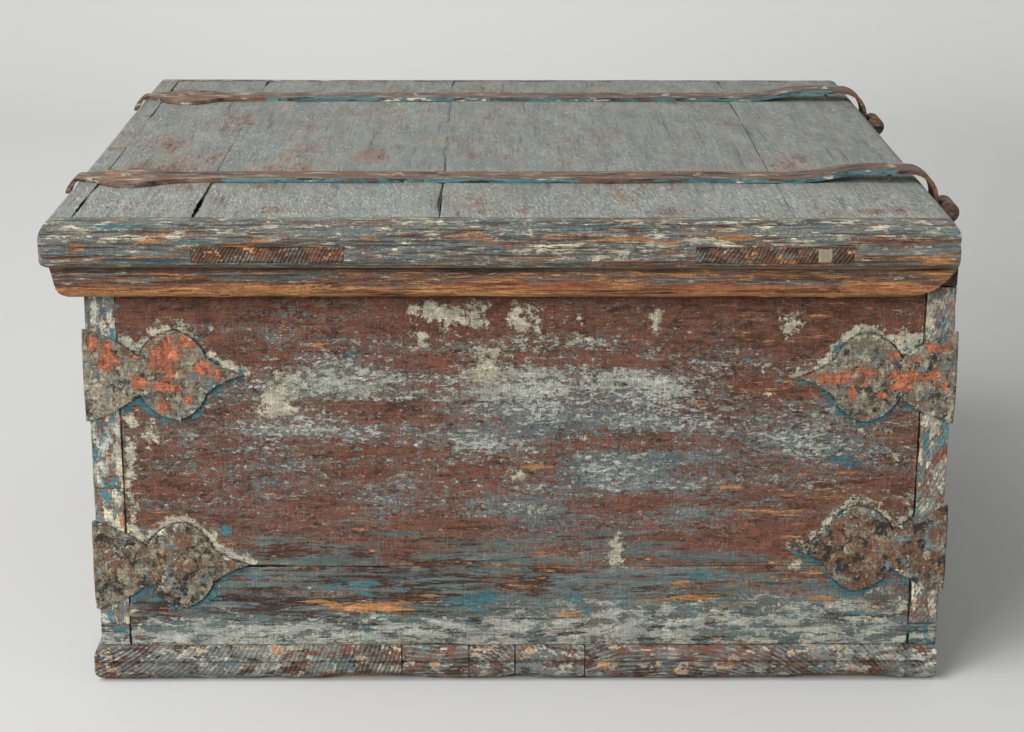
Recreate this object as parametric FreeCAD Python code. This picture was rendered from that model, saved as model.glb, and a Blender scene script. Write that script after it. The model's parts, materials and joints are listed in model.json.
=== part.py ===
import FreeCAD, Part
import math
import os

# An old painted pine chest, low and almost square, with an iron-strapped lid.
# +X is the chest's right-hand end, -Y its front, +Y its back where the hinges are, +Z up.
# The origin is the middle of the underside. Lengths are millimetres.

# Carcase
CARCASE_LENGTH = 450.0
CARCASE_DEPTH = 517.0
CARCASE_HEIGHT = 245.6
WALL = 18.0
END_SEAM_HEIGHT = 52.5
FRONT_SEAM_HEIGHT = 103.2
BACK_SEAM_HEIGHT = 151.6
SEAM_GAP = 0.4
LOW_FINGER = 14.0
MIDDLE_FINGER = 28.0
MIDDLE_FINGER_RISE = 57.8
MIDDLE_FINGER_DROP = 69.5
TOP_FINGER = 16.0

# Bottom boards, whose moulded ends stand out past the carcase
BOTTOM_THICK = 22.8
BOTTOM_SEAMS = (-73.0, -31.5, -3.0, 40.3)
BOTTOM_GAP = 0.6
BOTTOM_ROLL = 4.6
BOTTOM_BELLY = 5.2
BOTTOM_QUIRK_HEIGHT = 13.0
BOTTOM_QUIRK = 1.2
BOTTOM_TUCK = 1.8
BOTTOM_CORNER = 5.0

# Lid
LID_THICK = 28.0
LID_REACH = 21.5
LID_BACK_SETBACK = 4.0
CLEAT_THICK = 12.0
RAIL_THICK = 19.0
LID_BOARD_WIDTHS = (69.5, 144.0, 206.5)
LID_GAP = 0.8
LID_BELLY = 5.8
LID_SHOULDER_RADIUS = 16.4
LID_TOP_ROUND = 3.0
LID_FOOT_RADIUS = 6.9
LID_FOOT_TUCK = 4.6
LID_BACK_ROUND = 9.0
LID_BACK_FOOT_ROUND = 3.0
LID_CORNER = 4.5
TENON_THICK = 9.6
TENON_DROP = 15.0
TENON_FIT = 0.15
FIRST_TENON_WIDTH = 88.5
SECOND_TENON_WIDTH = 58.0
THIRD_TENON_WIDTH = 34.0

# Skirt moulding under the lid's edge
SKIRT_DROP = 20.0
SKIRT_GAP = 1.0
SKIRT_TOP_REACH = 16.2
SKIRT_FACE_REACH = 13.8
SKIRT_FACE_DROP = 12.5
SKIRT_FOOT_REACH = 8.0
SKIRT_SWELL = 1.3
SKIRT_TAIL = 27.0
SKIRT_TAIL_SWELL = 4.0

# Corner irons
IRON_THICK = 2.0
IRON_LENGTH = 92.5
IRON_HALF = 28.5
IRON_FRONT_DROP = 70.5
IRON_BACK_DROP = 72.0
IRON_FRONT_RISE = 53.6
IRON_BACK_RISE = 64.1
IRON_BEND = 1.4
IRON_TOP_SHARES = (
    ((0.20, 0.72), (0.335, 0.41)),
    ((0.45, 0.84), (0.585, 0.97)),
    ((0.69, 0.77), (0.765, 0.39)),
    ((0.865, 0.17), (1.0, 0.0)),
)
IRON_BULB_NAIL_SHARE = 0.61
IRON_CORNER_NAIL_SHARE = 0.1
IRON_END_NAIL_ACROSS_SHARE = -0.12
IRON_SIDE_NAIL_ACROSS_SHARE = 0.4

# Straps and hinges
STRAP_INSETS = (96.0, 69.0)
STRAP_THICK = 2.6
STRAP_HALF = 11.0
STRAP_FIT = 0.2
TONGUE_HALF = 7.5
TONGUE_REACH = 9.0
TONGUE_PROUD = 1.2
BULB_HALF = 23.0
BULB_SKEW = 3.0
BULB_CENTRE = 28.0
BULB_FRONT = 26.0
BULB_BACK = 44.0
BULB_NECK_SHARE = 0.5
BULB_EASE_SHARE = 0.2
LIFT_HEIGHT = 5.5
LIFT_RADIUS = 120.0
LIFT_CREST = 22.0
BACK_BEND_RADIUS = 16.0
PIN_BACK = 9.7
PIN_DROP = 18.8
PIN_RADIUS = 3.2
PIN_FIT = 0.05
PIN_HEAD_RADIUS = 4.6
PIN_HEAD = 1.2
KNUCKLE_RADIUS = 6.5
STRAP_KNUCKLE = 10.0
KNUCKLE_GAP = 0.3
LEAF_LENGTH = 38.0
LEAF_FOOT_HALF = 17.0
LEAF_TOP_GAP = 1.0
STRAP_NAIL_PLACES = (-76.0, 113.0)

# Nails
SHANK = 2.6
CLOUT_RADIUS = 4.4
CLOUT_RISE = 0.8
CLOUT_CROWN_RADIUS = 3.0
CLOUT_LENGTH = 15.0
STRAP_NAIL_LENGTH = 24.0
BOTTOM_NAIL_LENGTH = 52.0
BOTTOM_NAIL_INSET = 60.0
BOTTOM_NAIL_RADIUS = 4.0
BOTTOM_NAIL_RISE = 1.2
BOTTOM_NAIL_SINK = 0.4
SKIRT_NAIL_LENGTH = 38.0
SKIRT_NAIL_RADIUS = 2.6
SKIRT_NAIL_RISE = 1.0
SKIRT_NAIL_SHARES = (-0.62, 0.0, 0.62)
BACK_NAIL_RADIUS = 5.0
BACK_NAIL_RISE = 2.2
BACK_NAIL_CROWN_RADIUS = 3.4
BACK_NAIL_LENGTH = 34.0
BACK_NAIL_DROP = 19.5
SPIKE_HEAD = 8.0
SPIKE_HEAD_THICK = 3.0
SPIKE_SHANK = 4.0
SPIKE_LENGTH = 34.0
SPIKE_STEP = 0.6

# Lock
LOCK_WIDTH = 90.0
LOCK_HEIGHT = 66.0
LOCK_DEPTH = 18.0
LOCK_PLATE = 1.6
LOCK_TOP_DROP = 3.0
KEYHOLE_DROP = 53.0
KEYHOLE_RADIUS = 3.6
KEY_SLOT_WIDTH = 3.6
KEY_SLOT_DROP = 12.0
BOLT_HEIGHT = 8.0
BOLT_THICK = 5.0
BOLT_LENGTH = 50.0
BOLT_TIP = 14.0
BOLT_DROP = 15.0
BOLT_FIT = 0.3
TALON_WIDTH = 7.0
TALON_DROP = 20.0
GUIDE_THICK = 3.0
GUIDE_WALL = 2.6
GUIDE_PLACES = (-26.0, 6.0)
STAPLE_PLACE = 20.0
STAPLE_THICK = 4.0
STAPLE_LEG = 2.4
STAPLE_FIT = 0.7
STAPLE_PLATE = 2.0
STAPLE_PLATE_WIDTH = 46.0
STAPLE_PLATE_DEPTH = 16.5
STAPLE_WALL_GAP = 1.0
STAPLE_SLOT_FIT = 1.6
STAPLE_NAIL_PITCH = 34.0
LOCK_NAIL_INSET = 7.0
LOCK_NAIL_LENGTH = 30.0
SMALL_NAIL_RADIUS = 2.7
SMALL_NAIL_RISE = 0.6
SMALL_SHANK = 1.8
SMALL_NAIL_LENGTH = 12.0
SCUTCHEON_THICK = 1.6
SCUTCHEON_HALF_WIDTH = 19.0
SCUTCHEON_HALF_HEIGHT = 30.0
SCUTCHEON_SHARES = (
    ((0.30, 0.78), (0.42, 0.62)),
    ((0.95, 0.62), (1.0, 0.0)),
)
SCUTCHEON_PIN_SHARE = 0.74

# How far a cutting shape runs past what it cuts, and how near two points count as one
OVERRUN = 5.0
SAME_PLACE = 0.0001

# Places worked out from the sizes above
END_FACE = CARCASE_LENGTH / 2
SIDE_FACE = CARCASE_DEPTH / 2
CARCASE_FOOT = BOTTOM_THICK
RIM = CARCASE_FOOT + CARCASE_HEIGHT
LID_TOP = RIM + LID_THICK
LID_END = END_FACE + LID_REACH
LID_FRONT = -(SIDE_FACE + LID_REACH)
LID_BACK = SIDE_FACE - LID_BACK_SETBACK
CLEAT_INNER = LID_END - CLEAT_THICK
RAIL_INNER = LID_FRONT + RAIL_THICK
PIN_Y = SIDE_FACE + PIN_BACK
PIN_Z = LID_TOP - PIN_DROP
IRON_HEIGHTS = {
    "front": {"upper": RIM - IRON_FRONT_DROP, "lower": CARCASE_FOOT + IRON_FRONT_RISE},
    "back": {"upper": RIM - IRON_BACK_DROP, "lower": CARCASE_FOOT + IRON_BACK_RISE},
}
ENDS = {"right": 1, "left": -1}
SIDES = {"front": -1, "back": 1}
STRAPS = {name: end * (END_FACE - inset) for (name, end), inset in zip(ENDS.items(), STRAP_INSETS)}


def plan(a, b):
    return FreeCAD.Vector(a, b, 0)


def side_view(a, b):
    return FreeCAD.Vector(0, a, b)


def front_view(a, b):
    return FreeCAD.Vector(a, 0, b)


def block(low, high):
    size = [high[k] - low[k] for k in range(len(low))]
    return Part.makeBox(*size, FreeCAD.Vector(*low))


def closed_face(view, start, steps):
    """Face inside straight steps (a, b) and arc steps ((a, b) passed through, (a, b) reached)."""
    edges = []
    here = start
    for step in steps:
        if isinstance(step[0], tuple):
            through, there = step
            edges.append(Part.Arc(view(*here), view(*through), view(*there)).toShape())
        else:
            there = step
            edges.append(Part.LineSegment(view(*here), view(*there)).toShape())
        here = there
    if math.dist(here, start) > SAME_PLACE:
        edges.append(Part.LineSegment(view(*here), view(*start)).toShape())
    return Part.Face(Part.Wire(edges))


def prism(view, start, steps, first, last):
    """The outline pushed square to its view, from the place first to the place last."""
    square = {plan: (0, 0, 1), side_view: (1, 0, 0), front_view: (0, 1, 0)}[view]
    direction = FreeCAD.Vector(*square)
    solid = closed_face(view, start, steps).extrude(direction * (last - first))
    solid.translate(direction * first)
    return solid


def trace(start, heading, moves, aside=0):
    """Steps along a path of (length,) runs and (radius, degrees) bends, moved aside to its left.

    Positive degrees bend left. Gives the moved start, the steps and the unmoved end."""
    def point(at, head):
        return (at[0] - aside * math.sin(head), at[1] + aside * math.cos(head))

    at, head = start, math.radians(heading)
    moved_start, steps = point(at, head), []
    for move in moves:
        if len(move) == 1:
            at = (at[0] + move[0] * math.cos(head), at[1] + move[0] * math.sin(head))
            steps.append(point(at, head))
            continue
        radius, turn = move[0], math.radians(move[1])
        sign = math.copysign(1, turn)
        centre = (at[0] - sign * radius * math.sin(head), at[1] + sign * radius * math.cos(head))

        def on_bend(angle):
            return (centre[0] + sign * radius * math.sin(angle), centre[1] - sign * radius * math.cos(angle))

        halfway = head + turn / 2
        through = point(on_bend(halfway), halfway)
        head += turn
        at = on_bend(head)
        steps.append((through, point(at, head)))
    return moved_start, steps, at


def back_along(start, steps):
    """The same steps walked from their far end to their start."""
    places = [start] + [step[1] if isinstance(step[0], tuple) else step for step in steps]
    reverse = []
    for step, there in zip(reversed(steps), reversed(places[:-1])):
        reverse.append((step[0], there) if isinstance(step[0], tuple) else there)
    return reverse


def swollen(start, end, swell):
    """The point that stands out by the swell, to the left of the way from start to end, at its middle."""
    chord = (end[0] - start[0], end[1] - start[1])
    reach = math.hypot(*chord)
    return ((start[0] + end[0]) / 2 - chord[1] / reach * swell,
            (start[1] + end[1]) / 2 + chord[0] / reach * swell)


def mirrored(point):
    return (-point[0], point[1])


def mirror_steps(start, steps):
    return mirrored(start), [
        tuple(map(mirrored, s)) if isinstance(s[0], tuple) else mirrored(s) for s in steps]


def nail(at, direction, length, shank, head_radius, head_rise, crown_radius):
    """A forged nail whose head lies on the point at, driven along the direction."""
    head = Part.makeCone(head_radius, crown_radius, head_rise)
    stem = block((-shank / 2, -shank / 2, -length), (shank / 2, shank / 2, 0))
    shape = head.fuse(stem).removeSplitter()
    stem_only = stem.copy()
    turn = FreeCAD.Rotation(FreeCAD.Vector(0, 0, -1), FreeCAD.Vector(*direction))
    for solid in (shape, stem_only):
        solid.Placement = FreeCAD.Placement(FreeCAD.Vector(*at), turn)
    return shape, stem_only


def clout(at, direction, length=CLOUT_LENGTH):
    return nail(at, direction, length, SHANK, CLOUT_RADIUS, CLOUT_RISE, CLOUT_CROWN_RADIUS)


def small_nail(at, direction, length=SMALL_NAIL_LENGTH):
    return nail(at, direction, length, SMALL_SHANK, SMALL_NAIL_RADIUS, SMALL_NAIL_RISE, SMALL_SHANK / 2)


# Carcase

def finger_spans():
    """Heights at which the end boards run through to the corner. The middle ones lie under the irons."""
    spans = [(CARCASE_FOOT, CARCASE_FOOT + LOW_FINGER)]
    for height in (CARCASE_FOOT + MIDDLE_FINGER_RISE, RIM - MIDDLE_FINGER_DROP):
        spans.append((height - MIDDLE_FINGER / 2, height + MIDDLE_FINGER / 2))
    spans.append((RIM - TOP_FINGER, RIM))
    return spans


def seam_heights(seam_height):
    seam = CARCASE_FOOT + seam_height
    return {"lower": (CARCASE_FOOT, seam - SEAM_GAP / 2), "upper": (seam + SEAM_GAP / 2, RIM)}


def corner_posts(low, high):
    """The square columns at the four corners, between two heights."""
    posts = []
    for end in ENDS.values():
        for side in SIDES.values():
            x = sorted((end * END_FACE, end * (END_FACE - WALL)))
            y = sorted((side * SIDE_FACE, side * (SIDE_FACE - WALL)))
            posts.append(block((x[0], y[0], low), (x[1], y[1], high)))
    return posts


def end_boards():
    spans = finger_spans()
    gaps = [corner_posts(below[1], above[0]) for below, above in zip(spans, spans[1:])]
    notches = [post for level in gaps for post in level]
    boards = {}
    for name, end in ENDS.items():
        x = sorted((end * END_FACE, end * (END_FACE - WALL)))
        for part, (low, high) in seam_heights(END_SEAM_HEIGHT).items():
            board = block((x[0], -SIDE_FACE, low), (x[1], SIDE_FACE, high))
            boards[f"end_board_{name}_{part}"] = board.cut(notches)
    return boards


def side_boards():
    fingers = [post for low, high in finger_spans() for post in corner_posts(low, high)]
    boards = {}
    for name, side, seam in (("front", -1, FRONT_SEAM_HEIGHT), ("back", 1, BACK_SEAM_HEIGHT)):
        y = sorted((side * SIDE_FACE, side * (SIDE_FACE - WALL)))
        for part, (low, high) in seam_heights(seam).items():
            board = block((-END_FACE, y[0], low), (END_FACE, y[1], high))
            boards[f"{name}_board_{part}"] = board.cut(fingers)
    return boards


# Bottom boards

def bottom_edge(face):
    """Steps of the moulded edge from the underside to the top, outside a face on the positive side."""
    quirk_low = BOTTOM_QUIRK_HEIGHT - BOTTOM_QUIRK / 2
    quirk_high = BOTTOM_QUIRK_HEIGHT + BOTTOM_QUIRK / 2
    belly, roll = face + BOTTOM_BELLY, face + BOTTOM_ROLL
    slope = math.sqrt(1 / 2)
    lower_through = (belly - (BOTTOM_BELLY + BOTTOM_TUCK) * (1 - slope), quirk_low * (1 - slope))
    rise = BOTTOM_THICK - quirk_high
    upper_through = (face + BOTTOM_ROLL * slope, quirk_high + rise * slope)
    return (face - BOTTOM_TUCK, 0), [
        (lower_through, (belly, quirk_low)),
        (roll - BOTTOM_QUIRK, BOTTOM_QUIRK_HEIGHT),
        (roll, quirk_high),
        (upper_through, (face, BOTTOM_THICK)),
    ]


def bottom_boards():
    start, edge = bottom_edge(END_FACE)
    _, left = mirror_steps(start, back_along(start, edge))
    across = prism(front_view, start, edge + [mirrored((END_FACE, BOTTOM_THICK))] + left,
                   -SIDE_FACE - BOTTOM_BELLY, SIDE_FACE)
    start, edge = bottom_edge(SIDE_FACE)
    _, front = mirror_steps(start, back_along(start, edge))
    slope = math.sqrt(1 / 2)
    inset = BOTTOM_TUCK * (1 - slope)
    back_round = ((SIDE_FACE - inset, inset), (SIDE_FACE, BOTTOM_TUCK))
    along = prism(side_view, (SIDE_FACE - BOTTOM_TUCK, 0),
                  [back_round, (SIDE_FACE, BOTTOM_THICK), (-SIDE_FACE, BOTTOM_THICK)] + front,
                  -END_FACE - BOTTOM_BELLY, END_FACE + BOTTOM_BELLY)
    slab = across.common(along).common(rounded_plan(END_FACE + BOTTOM_BELLY, -SIDE_FACE - BOTTOM_BELLY,
                                                    SIDE_FACE, BOTTOM_CORNER, 0, BOTTOM_THICK))
    cuts = [-SIDE_FACE - BOTTOM_BELLY - OVERRUN, *BOTTOM_SEAMS, SIDE_FACE + OVERRUN]
    boards = {}
    for number, (low, high) in enumerate(zip(cuts, cuts[1:]), start=1):
        first = low + (BOTTOM_GAP / 2 if number > 1 else 0)
        last = high - (BOTTOM_GAP / 2 if high != cuts[-1] else 0)
        piece = block((-END_FACE * 2, first, -OVERRUN), (END_FACE * 2, last, BOTTOM_THICK + OVERRUN))
        boards[f"bottom_board_{number}"] = slab.common(piece)
    return boards


def rounded_plan(half_length, front, back, radius, low, high):
    """An upright block whose two front corners are rounded in plan."""
    inset = radius * (1 - math.sqrt(1 / 2))
    steps = [
        (half_length - radius, front),
        ((half_length - inset, front + inset), (half_length, front + radius)),
        (half_length, back),
        (-half_length, back),
        (-half_length, front + radius),
        ((-half_length + inset, front + inset), (-half_length + radius, front)),
    ]
    return prism(plan, (-half_length + radius, front), steps, low, high)


# Lid

def lid_edge_moves(aside=0):
    """The lid's moulded edge from its foot up to its top, bending right over the belly."""
    foot_turn = math.degrees(math.acos(1 - LID_FOOT_TUCK / LID_FOOT_RADIUS))
    shoulder_turn = math.degrees(math.acos(1 - LID_BELLY / LID_SHOULDER_RADIUS))
    foot_rise = LID_FOOT_RADIUS * math.sin(math.radians(foot_turn))
    shoulder_rise = LID_SHOULDER_RADIUS * math.sin(math.radians(shoulder_turn))
    top_rise = LID_TOP_ROUND * (1 - math.sin(math.radians(shoulder_turn)))
    flat = LID_THICK - foot_rise - shoulder_rise - top_rise
    return {
        "foot": (LID_FOOT_RADIUS + aside, -foot_turn),
        "flat": (flat,),
        "shoulder": (LID_SHOULDER_RADIUS + aside, -shoulder_turn),
        "top": (LID_TOP_ROUND + aside, shoulder_turn - 90),
        "foot_rise": foot_rise,
    }


def lid_edge(outer):
    """Start and steps of the edge on the negative side, whose belly stands at -outer."""
    moves = lid_edge_moves()
    heading = 90 - moves["foot"][1]
    start, steps, _ = trace((LID_FOOT_TUCK - outer, RIM), heading,
                            [moves[k] for k in ("foot", "flat", "shoulder", "top")])
    return start, steps


def lid_envelope():
    start, left = lid_edge(LID_END)
    _, right = mirror_steps(start, back_along(start, left))
    top_right = mirrored(left[-1][1])
    across = prism(front_view, start, left + [top_right] + right, LID_FRONT, LID_BACK)
    start, front = lid_edge(-LID_FRONT)
    slope = math.sqrt(1 / 2)
    top_inset, foot_inset = LID_BACK_ROUND * (1 - slope), LID_BACK_FOOT_ROUND * (1 - slope)
    back = [
        (LID_BACK - LID_BACK_ROUND, LID_TOP),
        ((LID_BACK - top_inset, LID_TOP - top_inset), (LID_BACK, LID_TOP - LID_BACK_ROUND)),
        (LID_BACK, RIM + LID_BACK_FOOT_ROUND),
        ((LID_BACK - foot_inset, RIM + foot_inset), (LID_BACK - LID_BACK_FOOT_ROUND, RIM)),
    ]
    along = prism(side_view, start, front + back, -LID_END, LID_END)
    corners = rounded_plan(LID_END, LID_FRONT, LID_BACK, LID_CORNER, RIM, LID_TOP)
    return across.common(along).common(corners)


def lid_seams():
    seams = [RAIL_INNER]
    for width in LID_BOARD_WIDTHS:
        seams.append(seams[-1] + width)
    return seams + [LID_BACK]


def tenon_spans():
    """Which lid board has a tenon, and where it starts and ends across the lid."""
    seams = lid_seams()
    return {
        2: (seams[1] + LID_GAP / 2, seams[1] + FIRST_TENON_WIDTH),
        3: (seams[3] - SECOND_TENON_WIDTH, seams[3] - LID_GAP / 2),
        4: (seams[3] + LID_GAP / 2, seams[3] + THIRD_TENON_WIDTH),
    }


def tenons(span, fit=0):
    low, high = LID_TOP - TENON_DROP - TENON_THICK, LID_TOP - TENON_DROP
    pieces = []
    for end in ENDS.values():
        x = sorted((end * CLEAT_INNER, end * (LID_END + OVERRUN)))
        pieces.append(block((x[0], span[0] - fit, low - fit), (x[1], span[1] + fit, high + fit)))
    return pieces


def lid_woodwork():
    envelope = lid_envelope()
    below, above = RIM - OVERRUN, LID_TOP + OVERRUN
    pieces = {}
    rail = block((-CLEAT_INNER, LID_FRONT - OVERRUN, below), (CLEAT_INNER, RAIL_INNER - LID_GAP / 2, above))
    pieces["lid_front_rail"] = envelope.common(rail)
    seams, spans = lid_seams(), tenon_spans()
    for number, (low, high) in enumerate(zip(seams, seams[1:]), start=1):
        last = high + OVERRUN if high == LID_BACK else high - LID_GAP / 2
        board = block((-CLEAT_INNER, low + LID_GAP / 2, below), (CLEAT_INNER, last, above))
        if number in spans:
            board = board.fuse(tenons(spans[number]))
        pieces[f"lid_board_{number}"] = envelope.common(board)
    first_mortise = spans[2]
    second_mortise = (spans[3][0], spans[4][1])
    mortises = tenons(first_mortise, TENON_FIT) + tenons(second_mortise, TENON_FIT)
    for name, end in ENDS.items():
        x = sorted((end * CLEAT_INNER, end * (LID_END + OVERRUN)))
        cleat = block((x[0], LID_FRONT - OVERRUN, below), (x[1], LID_BACK + OVERRUN, above))
        pieces[f"lid_cleat_{name}"] = envelope.common(cleat).cut(mortises)
    return pieces


def skirt_profile(face):
    """The skirt's section outside a face on the positive side."""
    top = (face + SKIRT_TOP_REACH, RIM)
    edge = (face + SKIRT_FACE_REACH, RIM - SKIRT_FACE_DROP)
    foot = (face + SKIRT_FOOT_REACH, RIM - SKIRT_DROP)
    inner = face + SKIRT_GAP
    return (inner, RIM), [top, edge, (swollen(edge, foot, SKIRT_SWELL), foot), (inner, RIM - SKIRT_DROP)]


def skirts():
    inner_x, inner_y = END_FACE + SKIRT_GAP, -(SIDE_FACE + SKIRT_GAP)
    outer_x, outer_y = END_FACE + SKIRT_TOP_REACH, -(SIDE_FACE + SKIRT_TOP_REACH)
    low, high = RIM - SKIRT_DROP - OVERRUN, RIM + OVERRUN
    start, steps = mirror_steps(*skirt_profile(SIDE_FACE))
    front = prism(side_view, start, steps, -outer_x, outer_x)
    mitre = prism(plan, (-outer_x, outer_y), [(outer_x, outer_y), (inner_x, inner_y), (-inner_x, inner_y)],
                  low, high)
    pieces = {"lid_skirt_front": front.common(mitre)}
    tail_foot, tail_top = (LID_BACK - SKIRT_TAIL, RIM - SKIRT_DROP), (LID_BACK, RIM)
    tail_bulge = swollen(tail_foot, tail_top, -SKIRT_TAIL_SWELL)
    tail = prism(side_view, tail_foot, [(tail_bulge, tail_top), (outer_y, RIM), (outer_y, RIM - SKIRT_DROP)],
                 -outer_x - OVERRUN, outer_x + OVERRUN)
    for name, end in ENDS.items():
        start, steps = skirt_profile(END_FACE)
        if end < 0:
            start, steps = mirror_steps(start, steps)
        skirt = prism(front_view, start, steps, outer_y, LID_BACK)
        corner = prism(plan, (end * outer_x, outer_y),
                       [(end * outer_x, LID_BACK), (end * inner_x, LID_BACK), (end * inner_x, inner_y)],
                       low, high)
        pieces[f"lid_skirt_{name}"] = skirt.common(corner).common(tail)
    return pieces


# Corner irons

def iron_outline(centre, start, sign, bend):
    """The leaf's outline from the corner at the place start, running in the direction sign."""
    def at(along, across):
        return (start + sign * along * IRON_LENGTH, centre + across * IRON_HALF)

    root = start - sign * bend
    top = [(at(*through), at(*there)) for through, there in IRON_TOP_SHARES]
    lower_shares = [(0.0, 1.0)] + [there for _, there in IRON_TOP_SHARES]
    bottom = []
    for (through, _), there in zip(reversed(IRON_TOP_SHARES), reversed(lower_shares[:-1])):
        bottom.append((at(through[0], -through[1]), at(there[0], -there[1])))
    return (root, centre + IRON_HALF), [at(0.0, 1.0)] + top + bottom + [(root, centre - IRON_HALF)]


def corner_iron(end, side, centre):
    """One bent iron: a leaf on the end board and a leaf on the front or back board."""
    corner_x, corner_y = end * END_FACE, side * SIDE_FACE
    start, steps = iron_outline(centre, corner_y, -side, IRON_THICK)
    x = sorted((corner_x, corner_x + end * IRON_THICK))
    end_leaf = prism(side_view, start, steps, *x)
    start, steps = iron_outline(centre, corner_x, -end, IRON_THICK)
    y = sorted((corner_y, corner_y + side * IRON_THICK))
    side_leaf = prism(front_view, start, steps, *y)
    iron = end_leaf.fuse(side_leaf).removeSplitter()
    outer = (corner_x + end * IRON_THICK, corner_y + side * IRON_THICK)
    bends = [e for e in iron.Edges
             if all(math.dist((v.X, v.Y), outer) < IRON_BEND / 2 for v in e.Vertexes)]
    return iron.makeFillet(IRON_BEND, bends)


def iron_nails(end, side, centre):
    """On each leaf a clout through the bulb and a small nail near the corner."""
    end_x, side_y = end * (END_FACE + IRON_THICK), side * (SIDE_FACE + IRON_THICK)
    bulb, near = IRON_BULB_NAIL_SHARE * IRON_LENGTH, IRON_CORNER_NAIL_SHARE * IRON_LENGTH
    end_z = centre + IRON_END_NAIL_ACROSS_SHARE * IRON_HALF
    side_z = centre + IRON_SIDE_NAIL_ACROSS_SHARE * IRON_HALF
    return [
        clout((end_x, side * (SIDE_FACE - bulb), centre), (-end, 0, 0)),
        clout((end * (END_FACE - bulb), side_y, centre), (0, -side, 0)),
        small_nail((end_x, side * (SIDE_FACE - near), end_z), (-end, 0, 0)),
        small_nail((end * (END_FACE - near), side_y, side_z), (0, -side, 0)),
    ]


def corner_irons():
    irons, nails = {}, []
    for side_name, side in SIDES.items():
        for end_name, end in ENDS.items():
            for level, centre in IRON_HEIGHTS[side_name].items():
                irons[f"corner_iron_{side_name}_{end_name}_{level}"] = corner_iron(end, side, centre)
                nails += iron_nails(end, side, centre)
    return irons, nails


# Straps and hinges

def strap_section():
    """The strap's side view: down over the front rail, along the lid, up and over the back edge."""
    moves = lid_edge_moves(STRAP_FIT)
    top_end_y = (LID_FRONT + LID_BELLY - TONGUE_PROUD
                 + LID_TOP_ROUND * math.cos(math.radians(moves["shoulder"][1])))
    shoulder_z = LID_TOP - (LID_THICK - moves["foot_rise"] - moves["flat"][0])
    start = (LID_FRONT - STRAP_FIT - TONGUE_PROUD, shoulder_z)
    lift_turn = math.degrees(math.acos(1 - LIFT_HEIGHT / (2 * LIFT_RADIUS)))
    lift_run = 2 * LIFT_RADIUS * math.sin(math.radians(lift_turn))
    inner_back = SIDE_FACE + STRAP_FIT
    crest_end = inner_back - BACK_BEND_RADIUS
    flat_run = crest_end - LIFT_CREST - lift_run - top_end_y
    bend_foot = LID_TOP + STRAP_FIT + LIFT_HEIGHT - BACK_BEND_RADIUS
    run_down = bend_foot - (PIN_Z + KNUCKLE_RADIUS)
    path = [moves["shoulder"], moves["top"], (flat_run,),
            (LIFT_RADIUS, lift_turn), (LIFT_RADIUS, -lift_turn), (LIFT_CREST,),
            (BACK_BEND_RADIUS, -90), (run_down,)]
    near_start, near, _ = trace(start, 90, path)
    far_start, far, _ = trace(start, 90, path, STRAP_THICK)
    far_end = far[-1]
    return near_start, near + [far_end] + back_along(far_start, far)


def strap_plan(centre):
    """The strap seen from above: tongue, bulb and long blade."""
    bulb = LID_FRONT + LID_BELLY + BULB_CENTRE
    front_neck, back_neck = BULB_FRONT * BULB_NECK_SHARE, BULB_BACK * BULB_NECK_SHARE
    front, back = LID_FRONT - STRAP_THICK - OVERRUN, PIN_Y + KNUCKLE_RADIUS + OVERRUN

    def edge(sign):
        """One side of the outline, from front to back."""
        def at(half, y):
            return (centre + sign * half, y)

        bulb_half = BULB_HALF + sign * BULB_SKEW
        shoulder_half, waist_half = (TONGUE_HALF + bulb_half) / 2, (STRAP_HALF + bulb_half) / 2
        first_half = TONGUE_HALF + (shoulder_half - TONGUE_HALF) * BULB_EASE_SHARE
        last_half = STRAP_HALF + (waist_half - STRAP_HALF) * BULB_EASE_SHARE
        return at(TONGUE_HALF, front), [
            at(TONGUE_HALF, bulb - BULB_FRONT),
            (at(first_half, bulb - BULB_FRONT + front_neck / 2), at(shoulder_half, bulb - front_neck)),
            (at(bulb_half, bulb), at(waist_half, bulb + back_neck)),
            (at(last_half, bulb + BULB_BACK - back_neck / 2), at(STRAP_HALF, bulb + BULB_BACK)),
            at(STRAP_HALF, back),
        ]

    right_start, right = edge(1)
    left_start, left = edge(-1)
    return right_start, right + [(centre - STRAP_HALF, back)] + back_along(left_start, left)


def knuckle(centre, low, high, toward_lid):
    """A rolled eye round the pin, with the neck that joins it to its plate above or below."""
    ring = Part.makeCylinder(KNUCKLE_RADIUS, high - low, FreeCAD.Vector(low, PIN_Y, PIN_Z),
                             FreeCAD.Vector(1, 0, 0))
    sign = 1 if toward_lid else -1
    plate_inner = SIDE_FACE + (STRAP_FIT if toward_lid else 0)
    plate_outer = plate_inner + STRAP_THICK
    root = PIN_Z + sign * KNUCKLE_RADIUS
    curl = root + sign * STRAP_THICK
    neck = prism(side_view, (plate_inner, curl),
                 [(plate_inner, PIN_Z), (PIN_Y, PIN_Z), (PIN_Y, root),
                  ((plate_outer + (PIN_Y - plate_outer) * (1 - math.sqrt(1 / 2)),
                    root + sign * STRAP_THICK * (1 - math.sqrt(1 / 2))), (plate_outer, curl))],
                 low, high)
    return ring.fuse(neck)


def pin_bore():
    span = CARCASE_LENGTH
    return Part.makeCylinder(PIN_RADIUS + PIN_FIT, 2 * span, FreeCAD.Vector(-span, PIN_Y, PIN_Z),
                             FreeCAD.Vector(1, 0, 0))


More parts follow.
